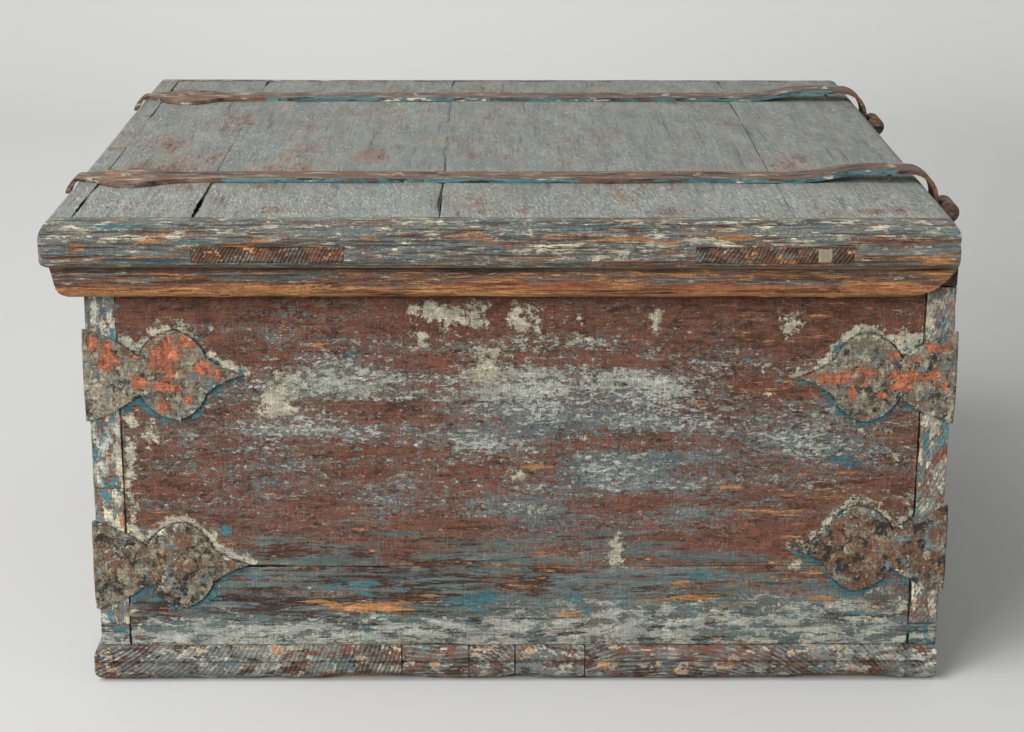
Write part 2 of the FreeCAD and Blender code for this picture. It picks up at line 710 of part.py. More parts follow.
def strap(centre):
    start, steps = strap_section()
    half_width = BULB_HALF + BULB_SKEW + OVERRUN
    blade = prism(side_view, start, steps, centre - half_width, centre + half_width)
    start, steps = strap_plan(centre)
    blade = blade.common(prism(plan, start, steps, RIM - OVERRUN, LID_TOP + BACK_BEND_RADIUS + OVERRUN))
    tip_z = LID_TOP - TONGUE_REACH
    tip_block = block((centre - BULB_HALF, LID_FRONT - OVERRUN, RIM),
                      (centre + BULB_HALF, LID_FRONT + LID_BELLY, tip_z + TONGUE_HALF))
    tip_round = Part.makeCylinder(TONGUE_HALF, LID_BELLY + OVERRUN,
                                  FreeCAD.Vector(centre, LID_FRONT - OVERRUN, tip_z + TONGUE_HALF),
                                  FreeCAD.Vector(0, 1, 0))
    blade = blade.cut(tip_block.cut(tip_round))
    eye = knuckle(centre, centre - STRAP_KNUCKLE / 2, centre + STRAP_KNUCKLE / 2, True)
    return blade.fuse(eye).removeSplitter().cut(pin_bore())


def hinge_leaf(centre):
    """The short plate on the back, with an eye each side of the strap's."""
    foot = RIM - LEAF_LENGTH
    eye_bottom = PIN_Z - KNUCKLE_RADIUS
    corner = (LEAF_FOOT_HALF - STRAP_HALF) / 2
    outline = [
        (centre + STRAP_HALF, foot + LEAF_LENGTH / 2),
        (centre + STRAP_HALF, eye_bottom - LEAF_TOP_GAP),
        (centre - STRAP_HALF, eye_bottom - LEAF_TOP_GAP),
        (centre - STRAP_HALF, foot + LEAF_LENGTH / 2),
        (centre - LEAF_FOOT_HALF, foot + corner),
        (centre - LEAF_FOOT_HALF + corner, foot),
        (centre + LEAF_FOOT_HALF - corner, foot),
    ]
    leaf = prism(front_view, (centre + LEAF_FOOT_HALF, foot + corner), outline,
                 SIDE_FACE, SIDE_FACE + STRAP_THICK)
    for sign in (1, -1):
        x = sorted((centre + sign * (STRAP_KNUCKLE / 2 + KNUCKLE_GAP), centre + sign * STRAP_HALF))
        post = block((x[0], SIDE_FACE, eye_bottom - LEAF_TOP_GAP - STRAP_THICK),
                     (x[1], SIDE_FACE + STRAP_THICK, PIN_Z))
        leaf = leaf.fuse([post, knuckle(centre, x[0], x[1], False)])
    return leaf.removeSplitter().cut(pin_bore())


def hinge_pin(centre):
    along = FreeCAD.Vector(1, 0, 0)
    first, last = centre - STRAP_HALF, centre + STRAP_HALF
    rod = Part.makeCylinder(PIN_RADIUS, last - first, FreeCAD.Vector(first, PIN_Y, PIN_Z), along)
    rivets = []
    for x, outward in ((last, along), (first, -along)):
        rivets.append(Part.makeCone(PIN_HEAD_RADIUS, PIN_RADIUS, PIN_HEAD, FreeCAD.Vector(x, PIN_Y, PIN_Z),
                                    outward))
    return rod.fuse(rivets).removeSplitter()


def strap_nails():
    nails = []
    bulb = LID_FRONT + LID_BELLY + BULB_CENTRE
    top = LID_TOP + STRAP_THICK + STRAP_FIT
    crest = SIDE_FACE + STRAP_FIT - BACK_BEND_RADIUS - LIFT_CREST / 2
    for centre in STRAPS.values():
        for y in (bulb, *STRAP_NAIL_PLACES):
            nails.append(clout((centre, y, top), (0, 0, -1), STRAP_NAIL_LENGTH))
        nails.append(clout((centre, crest, top + LIFT_HEIGHT), (0, 0, -1), STRAP_NAIL_LENGTH))
    return nails


def hinge_leaf_nails():
    nails = []
    face = SIDE_FACE + STRAP_THICK
    low, high = RIM - LEAF_LENGTH * 3 / 4, RIM - LEAF_LENGTH / 3
    for centre in STRAPS.values():
        spread = LEAF_FOOT_HALF - CLOUT_RADIUS * 3 / 2
        for x, z in ((centre - spread, low), (centre + spread, low), (centre, high)):
            nails.append(clout((x, face, z), (0, -1, 0)))
    return nails


# Other nails

def bottom_nails():
    """Nails up through the bottom boards into the end boards: two in a wide board, one in a narrow one."""
    edges = [-SIDE_FACE, *BOTTOM_SEAMS, SIDE_FACE]
    nails = []
    for low, high in zip(edges, edges[1:]):
        middle = (low + high) / 2
        spread = (high - low) / 2 - BOTTOM_NAIL_INSET
        rows = (middle - spread, middle + spread) if spread > 0 else (middle,)
        for y in rows:
            for end in ENDS.values():
                x = end * (END_FACE - WALL / 2)
                nails.append(nail((x, y, BOTTOM_NAIL_SINK + BOTTOM_NAIL_RISE), (0, 0, 1), BOTTOM_NAIL_LENGTH,
                                  SHANK, BOTTOM_NAIL_RADIUS, BOTTOM_NAIL_RISE, SHANK / 2))
    return nails


def bottom_nail_seats(nails):
    """The dishes that the sunk heads of the bottom nails leave open below them."""
    seats = []
    for shape, _ in nails:
        middle = shape.BoundBox.Center
        seats.append(Part.makeCylinder(BOTTOM_NAIL_RADIUS, BOTTOM_NAIL_SINK + BOTTOM_NAIL_RISE,
                                       FreeCAD.Vector(middle.x, middle.y, 0)))
    return seats


def skirt_nails():
    nails = []
    foot = RIM - SKIRT_DROP
    reach = (SKIRT_GAP + SKIRT_FOOT_REACH) / 2
    for share in SKIRT_NAIL_SHARES:
        places = [(share * END_FACE, -(SIDE_FACE + reach))]
        places += [(end * (END_FACE + reach), share * SIDE_FACE) for end in ENDS.values()]
        for x, y in places:
            nails.append(nail((x, y, foot), (0, 0, 1), SKIRT_NAIL_LENGTH, SMALL_SHANK,
                              SKIRT_NAIL_RADIUS, SKIRT_NAIL_RISE, SMALL_SHANK / 2))
    return nails


def lid_back_nails():
    """A nail in the back end of each cleat."""
    nails = []
    for end in ENDS.values():
        at = (end * (LID_END - CLEAT_THICK / 2), LID_BACK, LID_TOP - BACK_NAIL_DROP)
        nails.append(nail(at, (0, -1, 0), BACK_NAIL_LENGTH, SHANK, BACK_NAIL_RADIUS, BACK_NAIL_RISE,
                          BACK_NAIL_CROWN_RADIUS))
    return nails


def cleat_spikes():
    """A square-headed iron spike through each cleat's rear mortise into the last lid board."""
    low, high = tenon_spans()[4]
    y, z = (low + high) / 2, LID_TOP - TENON_DROP - TENON_THICK / 2
    half, stem = SPIKE_HEAD / 2, SPIKE_SHANK / 2
    spikes = []
    for end in ENDS.values():
        face = end * (LID_END + SPIKE_STEP)
        seat = face - end * SPIKE_HEAD_THICK
        point = face - end * SPIKE_LENGTH
        x_head, x_stem = sorted((face, seat)), sorted((face, point))
        head = block((x_head[0], y - half, z - half), (x_head[1], y + half, z + half))
        shank = block((x_stem[0], y - stem, z - stem), (x_stem[1], y + stem, z + stem))
        spikes.append(head.fuse(shank).removeSplitter())
    return spikes


# Lock

LOCK_INNER = -(SIDE_FACE - WALL)
LOCK_TOP = RIM - LOCK_TOP_DROP
KEYHOLE_Z = RIM - KEYHOLE_DROP
BOLT_Z = RIM - BOLT_DROP
BOLT_Y = LOCK_INNER + LOCK_DEPTH / 2
STAPLE_HALF_OPENING = BOLT_THICK / 2 + STAPLE_FIT
STAPLE_FOOT = BOLT_Z - BOLT_HEIGHT / 2 - STAPLE_FIT - STAPLE_LEG


def keyhole(first, last):
    """A round hole with a slot below it, through everything from the place first to the place last."""
    along = FreeCAD.Vector(0, 1, 0)
    round_hole = Part.makeCylinder(KEYHOLE_RADIUS, last - first, FreeCAD.Vector(0, first, KEYHOLE_Z), along)
    half, foot = KEY_SLOT_WIDTH / 2, KEYHOLE_Z - KEY_SLOT_DROP
    return round_hole.fuse(block((-half, first, foot), (half, last, KEYHOLE_Z)))


def lock_case():
    half = LOCK_WIDTH / 2
    foot = LOCK_TOP - LOCK_HEIGHT
    outside = block((-half, LOCK_INNER, foot), (half, LOCK_INNER + LOCK_DEPTH, LOCK_TOP))
    hollow = block((-half + LOCK_PLATE, LOCK_INNER + LOCK_PLATE, foot + LOCK_PLATE),
                   (half - LOCK_PLATE, LOCK_INNER + LOCK_DEPTH - LOCK_PLATE, LOCK_TOP - LOCK_PLATE))
    case = outside.cut(hollow)
    guides = []
    hole_half, hole_thick = BOLT_HEIGHT / 2 + BOLT_FIT, BOLT_THICK / 2 + BOLT_FIT
    for place in GUIDE_PLACES:
        guides.append(block((place - GUIDE_THICK / 2, LOCK_INNER, BOLT_Z - hole_half - GUIDE_WALL),
                            (place + GUIDE_THICK / 2, LOCK_INNER + LOCK_DEPTH, BOLT_Z + hole_half)))
    case = case.fuse(guides).removeSplitter()
    bolt_way = block((-half + LOCK_PLATE, BOLT_Y - hole_thick, BOLT_Z - hole_half),
                     (half - LOCK_PLATE, BOLT_Y + hole_thick, BOLT_Z + hole_half))
    loop_half = STAPLE_HALF_OPENING + STAPLE_LEG + STAPLE_SLOT_FIT
    slot_half = STAPLE_THICK / 2 + STAPLE_SLOT_FIT
    slot = block((STAPLE_PLACE - slot_half, BOLT_Y - loop_half, LOCK_TOP - LOCK_PLATE),
                 (STAPLE_PLACE + slot_half, BOLT_Y + loop_half, LOCK_TOP))
    return case.cut([bolt_way, slot, keyhole(LOCK_INNER - OVERRUN, LOCK_INNER + LOCK_PLATE)])


def lock_bolt():
    low, high = BOLT_Z - BOLT_HEIGHT / 2, BOLT_Z + BOLT_HEIGHT / 2
    y = (BOLT_Y - BOLT_THICK / 2, BOLT_Y + BOLT_THICK / 2)
    bar = block((BOLT_TIP - BOLT_LENGTH, y[0], low), (BOLT_TIP, y[1], high))
    middle = sum(GUIDE_PLACES) / len(GUIDE_PLACES) - TALON_WIDTH / 2
    talon = block((middle - TALON_WIDTH / 2, y[0], low - TALON_DROP), (middle + TALON_WIDTH / 2, y[1], low))
    return bar.fuse(talon).removeSplitter()


def lock_staple():
    half = STAPLE_HALF_OPENING
    x = (STAPLE_PLACE - STAPLE_THICK / 2, STAPLE_PLACE + STAPLE_THICK / 2)
    loop = block((x[0], BOLT_Y - half - STAPLE_LEG, STAPLE_FOOT), (x[1], BOLT_Y + half + STAPLE_LEG, RIM))
    loop = loop.cut(block((x[0] - OVERRUN, BOLT_Y - half, STAPLE_FOOT + STAPLE_LEG),
                          (x[1] + OVERRUN, BOLT_Y + half, RIM)))
    y = LOCK_INNER + STAPLE_WALL_GAP
    plate = block((STAPLE_PLACE - STAPLE_PLATE_WIDTH / 2, y, RIM - STAPLE_PLATE),
                  (STAPLE_PLACE + STAPLE_PLATE_WIDTH / 2, y + STAPLE_PLATE_DEPTH, RIM))
    return plate.fuse(loop).removeSplitter()


def staple_nails():
    return [small_nail((STAPLE_PLACE + sign * STAPLE_NAIL_PITCH / 2, BOLT_Y, RIM - STAPLE_PLATE), (0, 0, 1))
            for sign in (1, -1)]


def lock_case_nails():
    half = LOCK_WIDTH / 2 - LOCK_NAIL_INSET
    foot = LOCK_TOP - LOCK_HEIGHT
    face = LOCK_INNER + LOCK_DEPTH
    places = [(x, z) for x in (-half, half) for z in (foot + LOCK_NAIL_INSET, LOCK_TOP - LOCK_NAIL_INSET)]
    return [small_nail((x, face, z), (0, -1, 0), LOCK_NAIL_LENGTH) for x, z in places]


def scutcheon():
    """The leaf-shaped plate round the keyhole on the front."""
    centre = KEYHOLE_Z - KEY_SLOT_DROP / 3

    def at(across, up):
        return (across * SCUTCHEON_HALF_WIDTH, centre + up * SCUTCHEON_HALF_HEIGHT)

    def quarter(sign_x, sign_z):
        """From the middle of the top or foot round to one side."""
        steps = [(at(sign_x * through[0], sign_z * through[1]), at(sign_x * there[0], sign_z * there[1]))
                 for through, there in SCUTCHEON_SHARES]
        return at(0, sign_z), steps

    top, upper_right = quarter(1, 1)
    foot, lower_right = quarter(1, -1)
    _, lower_left = quarter(-1, -1)
    _, upper_left = quarter(-1, 1)
    steps = upper_right + back_along(foot, lower_right) + lower_left + back_along(top, upper_left)
    return prism(front_view, top, steps, -SIDE_FACE - SCUTCHEON_THICK, -SIDE_FACE)


def scutcheon_pins():
    centre = KEYHOLE_Z - KEY_SLOT_DROP / 3
    face = -SIDE_FACE - SCUTCHEON_THICK
    places = [(0, centre + sign * SCUTCHEON_PIN_SHARE * SCUTCHEON_HALF_HEIGHT) for sign in (1, -1)]
    places += [(sign * SCUTCHEON_PIN_SHARE * SCUTCHEON_HALF_WIDTH, centre) for sign in (1, -1)]
    return [small_nail((x, face, z), (0, 1, 0)) for x, z in places]


# Putting it together

def stems(nails):
    return [stem for _, stem in nails]


def heads(nails):
    return Part.makeCompound([shape for shape, _ in nails])


def cut_all(parts, names, tools):
    """Cut each named part by the tools whose boxes meet it."""
    for name in names:
        near = [tool for tool in tools if tool.BoundBox.intersect(parts[name].BoundBox)]
        if near:
            parts[name] = parts[name].cut(near)


def build():
    parts = {**end_boards(), **side_boards(), **bottom_boards(), **lid_woodwork(), **skirts()}
    carcase = [name for name in parts if name.startswith(("end_board", "front_board", "back_board"))]
    bottom = [name for name in parts if name.startswith("bottom_board")]
    lid = [name for name in parts if name.startswith("lid_")]

    irons, iron_nails = corner_irons()
    parts.update(irons)
    cut_all(parts, carcase + list(irons), stems(iron_nails))
    parts["corner_iron_nails"] = heads(iron_nails)

    for name, centre in STRAPS.items():
        parts[f"strap_{name}"] = strap(centre)
        parts[f"hinge_leaf_{name}"] = hinge_leaf(centre)
        parts[f"hinge_pin_{name}"] = hinge_pin(centre)
    nails = strap_nails()
    cut_all(parts, lid + [f"strap_{name}" for name in STRAPS], stems(nails))
    parts["strap_nails"] = heads(nails)
    nails = hinge_leaf_nails()
    cut_all(parts, carcase + [f"hinge_leaf_{name}" for name in STRAPS], stems(nails))
    parts["hinge_leaf_nails"] = heads(nails)

    nails = bottom_nails()
    cut_all(parts, bottom, stems(nails) + bottom_nail_seats(nails))
    cut_all(parts, carcase, stems(nails))
    parts["bottom_board_nails"] = heads(nails)

    nails = skirt_nails()
    cut_all(parts, lid, stems(nails))
    parts["skirt_nails"] = heads(nails)

    nails = lid_back_nails()
    cut_all(parts, lid, stems(nails))
    parts["lid_back_nails"] = heads(nails)

    spikes = cleat_spikes()
    cut_all(parts, lid, spikes)
    parts["cleat_spikes"] = Part.makeCompound(spikes)

    parts["lock_case"] = lock_case()
    parts["keyhole_plate"] = scutcheon()
    hole = keyhole(-SIDE_FACE - OVERRUN, LOCK_INNER)
    cut_all(parts, ["front_board_upper", "front_board_lower", "keyhole_plate"], [hole])
    nails = lock_case_nails()
    cut_all(parts, ["lock_case", "front_board_upper", "front_board_lower"], stems(nails))
    parts["lock_case_nails"] = heads(nails)
    nails = scutcheon_pins()
    cut_all(parts, ["keyhole_plate", "front_board_upper", "front_board_lower"], stems(nails))
    parts["keyhole_plate_pins"] = heads(nails)
    parts["lock_bolt"] = lock_bolt()
    parts["lock_staple"] = lock_staple()
    nails = staple_nails()
    cut_all(parts, lid + ["lock_staple"], stems(nails))
    parts["lock_staple_nails"] = heads(nails)
    return parts


def main():
    os.makedirs("parts", exist_ok=True)
    for name, shape in build().items():
        shape.exportStep(os.path.join("parts", name + ".step"))
        print(name, len(shape.Solids), round(shape.Volume), shape.isValid())


main()
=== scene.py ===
import json
import math

import bmesh
import bpy
import numpy as np
from bpy.props import FloatProperty, FloatVectorProperty, IntProperty, PointerProperty
from mathutils import Matrix, Vector
from mathutils.kdtree import KDTree


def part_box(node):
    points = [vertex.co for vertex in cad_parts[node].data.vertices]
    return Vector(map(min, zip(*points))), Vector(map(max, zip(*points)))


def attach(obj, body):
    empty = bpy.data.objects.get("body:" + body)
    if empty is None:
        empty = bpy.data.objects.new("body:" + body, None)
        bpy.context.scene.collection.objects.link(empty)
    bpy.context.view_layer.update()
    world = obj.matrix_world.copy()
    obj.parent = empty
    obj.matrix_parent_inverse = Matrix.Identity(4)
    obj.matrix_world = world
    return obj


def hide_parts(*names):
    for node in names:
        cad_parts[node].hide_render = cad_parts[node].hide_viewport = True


bl_info = {
    "name": "Painted Chest",
    "version": (1, 0, 0),
    "blender": (4, 5, 0),
    "location": "3D View > Sidebar > Chest",
    "description": "Dresses a low pine chest in worn paint and forged irons",
    "category": "Object",
}

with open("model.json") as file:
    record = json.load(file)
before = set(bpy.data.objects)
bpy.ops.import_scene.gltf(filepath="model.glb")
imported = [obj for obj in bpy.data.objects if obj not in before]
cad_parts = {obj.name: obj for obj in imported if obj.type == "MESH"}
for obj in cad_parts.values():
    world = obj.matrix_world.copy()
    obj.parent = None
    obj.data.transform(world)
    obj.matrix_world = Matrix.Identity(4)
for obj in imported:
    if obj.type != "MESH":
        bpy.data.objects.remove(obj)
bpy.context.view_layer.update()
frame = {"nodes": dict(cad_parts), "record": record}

# Places taken from the frame, in metres
PANEL_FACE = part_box("end_board_right_upper")[1].x
SIDE_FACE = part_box("back_board_upper")[1].y
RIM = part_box("end_board_right_upper")[1].z
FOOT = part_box("end_board_right_lower")[0].z
LID_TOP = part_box("lid_board_2")[1].z
END_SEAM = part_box("end_board_right_upper")[0].z
LID_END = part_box("lid_cleat_right")[1].x
CLEAT_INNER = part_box("lid_cleat_right")[0].x
LID_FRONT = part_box("lid_front_rail")[0].y
LID_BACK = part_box("lid_cleat_right")[1].y

# Lengths that come up again, in metres
MM = 0.001
BOARD = 0.018
CELL = 0.0022

BODY_OF = {node: body
           for body, nodes in frame["record"]["behaviour"]["bodies"].items() for node in nodes}


def tone(code):
    """A colour written the usual way, such as "6f7f88", in the linear numbers that shaders use."""
    parts = [int(code[k:k + 2], 16) / 255 for k in (0, 2, 4)]
    return tuple(c / 12.92 if c <= 0.04045 else ((c + 0.055) / 1.055) ** 2.4 for c in parts)


def paint(name, code, description):
    return FloatVectorProperty(name=name, description=description, subtype="COLOR", size=3,
                               min=0, max=1, default=tone(code))


def span(name, value, description):
    return FloatProperty(name=name, description=description, default=value, min=0,
                         subtype="DISTANCE", unit="LENGTH")


class ChestPaints(bpy.types.PropertyGroup):
    maroon: paint("Maroon", "6f4837", "Oldest paint, left over most of the end")
    maroon_dark: paint("Dark maroon", "412b21", "Grime in the oldest paint")
    brick: paint("Brick red", "7d4734", "Red seen where the top coats are thin")
    mauve: paint("Mauve grey", "82746a", "Haze of scraped top coat over the maroon")
    slate: paint("Slate blue", "697575", "Grey-blue middle coat")
    chalk: paint("Chalk grey", "adafa4", "Pale flakes of the top coat")
    cream: paint("Cream", "c0baa4", "Thick flakes of primer")
    teal: paint("Teal", "4a7c84", "Bright blue-green touches")
    sea: paint("Sea grey", "65736d", "Green-grey of the foot of the panels")
    lid_blue: paint("Lid grey", "777a72", "Chalky grey-blue of the lid")
    coral: paint("Coral", "b76d4d", "Vermilion left on the upper irons")


class ChestWoods(bpy.types.PropertyGroup):
    bare: paint("Bare pine", "c08855", "Fresh scraped pine")
    bare_dark: paint("Dark pine", "5a3a25", "Old dark pine between the fibres")
    inside: paint("Inside pine", "9b7b56", "Unpainted boards inside the chest")
    end_dark: paint("End grain", "33291f", "Dark late wood in end grain")
    # gap is also laid as painted shade under the lid's moulding and beside the irons.
    gap: paint("Gap", "120d0a", "Dirt in cracks and joints")


class ChestIrons(bpy.types.PropertyGroup):
    olive: paint("Olive scale", "857a66", "Main tone of the corner irons")
    pale: paint("Pale scale", "9c9782", "Light specks on the corner irons")
    rust: paint("Rust brown", "6b4a32", "Brown rust")
    # pit is also laid as painted shade on the irons' down-facing edges.
    pit: paint("Pit black", "262421", "Pits and dark scale")
    strap: paint("Strap brown", "564339", "Worn rust of the lid's straps")


class ChestWear(bpy.types.PropertyGroup):
    chamfer: span("Edge round", 0.9 * MM, "Rounding of worn board edges")
    warp: span("Warp", 0.45 * MM, "How far faces wander from flat")
    chip: span("Chip depth", 1.5 * MM, "Deepest chip in an edge")
    hammer: span("Hammer marks", 0.22 * MM, "Depth of the marks on forged iron")
    seed: IntProperty(name="Seed", description="Changes every chance mark at once", default=7)


class ChestStage(bpy.types.PropertyGroup):
    floor: paint("Floor", "d8d8d6", "Pale floor and backdrop")
    key_power: FloatProperty(name="Key light", description="Power of the large lamp", default=17,
                             min=0, unit="POWER")
    lens: FloatProperty(name="Lens", description="Focal length for a 36 mm wide sensor", default=79.96,
                        min=1, subtype="DISTANCE_CAMERA")


# Shader building

class Shade:
    """Adds shader nodes to one tree and joins them."""

    def __init__(self, tree):
        self.tree = tree

    def add(self, kind, inputs=None, **settings):
        node = self.tree.nodes.new("ShaderNode" + kind)
        for name, value in settings.items():
            setattr(node, name, value)
        for name, value in (inputs or {}).items():
            socket = node.inputs[name]
            if isinstance(value, bpy.types.NodeSocket):
                self.tree.links.new(value, socket)
            else:
                socket.default_value = value
        return node

    def math(self, operation, a, b=0.0, clamp=False):
        return self.add("Math", {0: a, 1: b}, operation=operation, use_clamp=clamp).outputs[0]

    def times(self, a, b):
        return self.math("MULTIPLY", a, b)

    def plus(self, a, b):
        return self.math("ADD", a, b)

    def minus(self, a, b):
        return self.math("SUBTRACT", a, b)

    def shift(self, value, low, high, to_low=0.0, to_high=1.0):
        """Smoothly turns low..high into to_low..to_high."""
        node = self.add("MapRange", {0: value, 1: low, 2: high, 3: to_low, 4: to_high},
                        interpolation_type="SMOOTHSTEP")
        return node.outputs[0]

    def blend(self, factor, below, above, mode="MIX"):
        node = self.add("Mix", {0: factor, 6: opaque(below), 7: opaque(above)}, data_type="RGBA",
                        blend_type=mode, clamp_factor=True)
        return node.outputs[2]

    def noise(self, vector, scale, detail=4.0, roughness=0.6, distortion=0.0):
        node = self.add("TexNoise", {"Vector": vector, "Scale": scale, "Detail": detail,
                                     "Roughness": roughness, "Distortion": distortion})
        return node.outputs[0]

    def stretch(self, vector, scale, offset=(0, 0, 0)):
        return self.add("Mapping", {"Vector": vector, "Scale": scale, "Location": offset}).outputs[0]

    def mark(self, name):
        return self.add("Attribute", attribute_name=name).outputs["Fac"]

    def patchy(self, vector, scale, cover, swing, offset=(0, 0, 0)):
        """A coverage that drifts about its mean from place to place."""
        drift = self.noise(self.stretch(vector, (1, 1, 1), offset), scale, 3.0, 0.55)
        swung = self.times(self.minus(drift, 0.5), swing * 4.0)
        return self.times(cover, self.math("MAXIMUM", self.plus(1.0, swung), 0.0))

    def group(self, name, **inputs):
        node = self.tree.nodes.new("ShaderNodeGroup")
        node.node_tree = bpy.data.node_groups[name]
        for label, value in inputs.items():
            socket = node.inputs[label.replace("_", " ")]
            if isinstance(value, bpy.types.NodeSocket):
                self.tree.links.new(value, socket)
            else:
                socket.default_value = opaque(value) if socket.type == "RGBA" else value
        return node


def opaque(value):
    if isinstance(value, bpy.types.NodeSocket) or isinstance(value, float):
        return value
    return (*value, 1.0) if len(value) == 3 else value


def new_group(name, sockets, results):
    """An empty shader group with its inputs (name, kind, default) and outputs (name, kind)."""
    tree = bpy.data.node_groups.new(name, "ShaderNodeTree")
    for label, kind, default in sockets:
        socket = tree.interface.new_socket(label, in_out="INPUT", socket_type="NodeSocket" + kind)
        if default is not None:
            socket.default_value = default
    for label, kind in results:
        tree.interface.new_socket(label, in_out="OUTPUT", socket_type="NodeSocket" + kind)
    return Shade(tree), tree.nodes.new("NodeGroupInput").outputs, tree.nodes.new("NodeGroupOutput").inputs


def build_worn_paint():
    """One coat of paint over whatever is below it, flaked away so that about Cover of it is left."""
    sh, given, out = new_group(
        "Worn paint",
        [("Vector", "Vector", None), ("Below", "Color", (0, 0, 0, 1)), ("Paint", "Color", (1, 1, 1, 1)),
         ("Cover", "Float", 0.5), ("Scale", "Float", 60.0), ("Soft", "Float", 0.01),
         ("Ragged", "Float", 0.68), ("Thick", "Float", 0.1), ("Height", "Float", 0.0)],
        [("Color", "Color"), ("Mask", "Float"), ("Height", "Float")])
    field = sh.noise(given["Vector"], given["Scale"], 7.0, given["Ragged"])
    cover = sh.add("Clamp", {"Value": given["Cover"], "Min": 0.0005, "Max": 0.9995}).outputs[0]
    odds = sh.math("DIVIDE", sh.minus(1.0, cover), cover)
    level = sh.plus(0.5, sh.times(sh.math("LOGARITHM", odds, math.e), 0.042))
    mask = sh.shift(field, sh.minus(level, given["Soft"]), sh.plus(level, given["Soft"]))
    cloud = sh.noise(given["Vector"], sh.times(given["Scale"], 0.6), 5.0, 0.7)
    tint = sh.blend(sh.shift(cloud, 0.36, 0.64), (0.76, 0.76, 0.77), (1.20, 1.18, 1.15))
    coat = sh.blend(1.0, given["Paint"], tint, "MULTIPLY")
    sh.tree.links.new(sh.blend(mask, given["Below"], coat), out["Color"])
    sh.tree.links.new(mask, out["Mask"])
    rise = sh.plus(given["Height"], sh.times(mask, given["Thick"]))
    sh.tree.links.new(rise, out["Height"])


def build_scratches():
    """Fine hairlines up and along the panels, as lighter and darker threads."""
    sh, given, out = new_group(
        "Hairlines", [("Vector", "Vector", None), ("Color", "Color", (0, 0, 0, 1)), ("Depth", "Float", 0.5)],
        [("Color", "Color"), ("Height", "Float")])
    up = sh.noise(sh.stretch(given["Vector"], (1, 1, 0.10)), 760.0, 3.0, 0.6)
    across = sh.noise(sh.stretch(given["Vector"], (0.10, 0.08, 1), (0.3, 0.2, 0.1)), 820.0, 3.0, 0.6)
    grit = sh.noise(given["Vector"], 1100.0, 2.0, 0.6)
    total = sh.plus(sh.plus(sh.times(up, 0.3), sh.times(across, 0.4)), sh.times(grit, 0.3))
    value = sh.shift(total, 0.38, 0.62, 0.0, 1.0)
    shade = sh.blend(value, (0.62, 0.61, 0.60), (1.36, 1.36, 1.36))
    worked = sh.blend(given["Depth"], (1.0, 1.0, 1.0), shade)
    sh.tree.links.new(sh.blend(1.0, given["Color"], worked, "MULTIPLY"), out["Color"])
    sh.tree.links.new(value, out["Height"])


def build_grain():
    """Fibres that run along the short scale of the vector it is given."""
    sh, given, out = new_group("Wood fibre", [("Vector", "Vector", None), ("Scale", "Float", 420.0)],
                               [("Fibre", "Float"), ("Split", "Float"), ("Figure", "Float")])
    bend = sh.noise(given["Vector"], 6.0, 2.0, 0.5)
    bent = sh.add("VectorMath", {0: given["Vector"], 1: sh.add(
        "CombineXYZ", {0: sh.times(bend, 0.02), 1: sh.times(bend, 0.01),
                       2: sh.times(bend, 0.02)}).outputs[0]}, operation="ADD").outputs[0]
    fibre = sh.noise(bent, given["Scale"], 4.0, 0.65)
    figure = sh.noise(bent, sh.times(given["Scale"], 0.22), 3.0, 0.5)
    split = sh.shift(sh.noise(bent, sh.times(given["Scale"], 0.5), 3.0, 0.55), 0.33, 0.38, 1.0, 0.0)
    sh.tree.links.new(fibre, out["Fibre"])
    sh.tree.links.new(split, out["Split"])
    sh.tree.links.new(figure, out["Figure"])


def build_end_grain():
    """Year rings cut across, as bands that slant and curve, with fine saw marks."""
    sh, given, out = new_group(
        "End grain", [("Vector", "Vector", None), ("Centre", "Vector", (0, 0, 0)), ("Pitch", "Float", 330.0)],
        [("Rings", "Float"), ("Pores", "Float")])
    placed = sh.add("VectorMath", {0: given["Vector"], 1: given["Centre"]}, operation="SUBTRACT").outputs[0]
    sway = sh.noise(placed, 22.0, 3.0, 0.5)
    reach = sh.add("VectorMath", {0: placed}, operation="LENGTH").outputs["Value"]
    reach = sh.plus(reach, sh.times(sway, 0.008))
    wave = sh.math("SINE", sh.times(reach, sh.times(given["Pitch"], 6.2832)))
    ragged = sh.times(sh.noise(placed, 500.0, 3.0, 0.6), 1.4)
    sh.tree.links.new(sh.shift(sh.plus(wave, ragged), 0.2, 1.6), out["Rings"])
    sh.tree.links.new(sh.noise(placed, 1500.0, 2.0, 0.6), out["Pores"])


def build_edge_wear():
    """How worn a place is, from how near it lies to an edge."""
    sh, given, out = new_group(
        "Edge wear", [("Vector", "Vector", None), ("Nearness", "Float", 0.0), ("Amount", "Float", 0.5)],
        [("Mask", "Float")])
    ragged = sh.noise(given["Vector"], 120.0, 7.0, 0.7)
    total = sh.plus(sh.times(given["Nearness"], given["Amount"]), sh.times(ragged, 0.9))
    sh.tree.links.new(sh.shift(total, 0.82, 0.94), out["Mask"])


def build_scale():
    """Rust scale: large clouds, light specks and dark pits."""
    sh, given, out = new_group(
        "Iron scale", [("Vector", "Vector", None), ("Scale", "Float", 1.0)],
        [("Clouds", "Float"), ("Specks", "Float"), ("Pits", "Float"), ("Height", "Float")])
    spot = sh.add("VectorMath", {0: given["Vector"], 3: given["Scale"]}, operation="SCALE").outputs[0]
    clouds = sh.noise(spot, 60.0, 6.0, 0.65, 0.4)
    grains = sh.noise(spot, 420.0, 5.0, 0.75)
    specks = sh.shift(grains, 0.56, 0.62)
    pits = sh.shift(sh.noise(spot, 260.0, 4.0, 0.7), 0.40, 0.33)
    height = sh.minus(sh.plus(sh.times(grains, 0.5), clouds), sh.times(pits, 0.6))
    for name, value in (("Clouds", clouds), ("Specks", specks), ("Pits", pits), ("Height", height)):
        sh.tree.links.new(value, out[name])


def long_grain(along, squeeze=0.06):
    return tuple(squeeze if axis == along else 1.0 for axis in range(3))


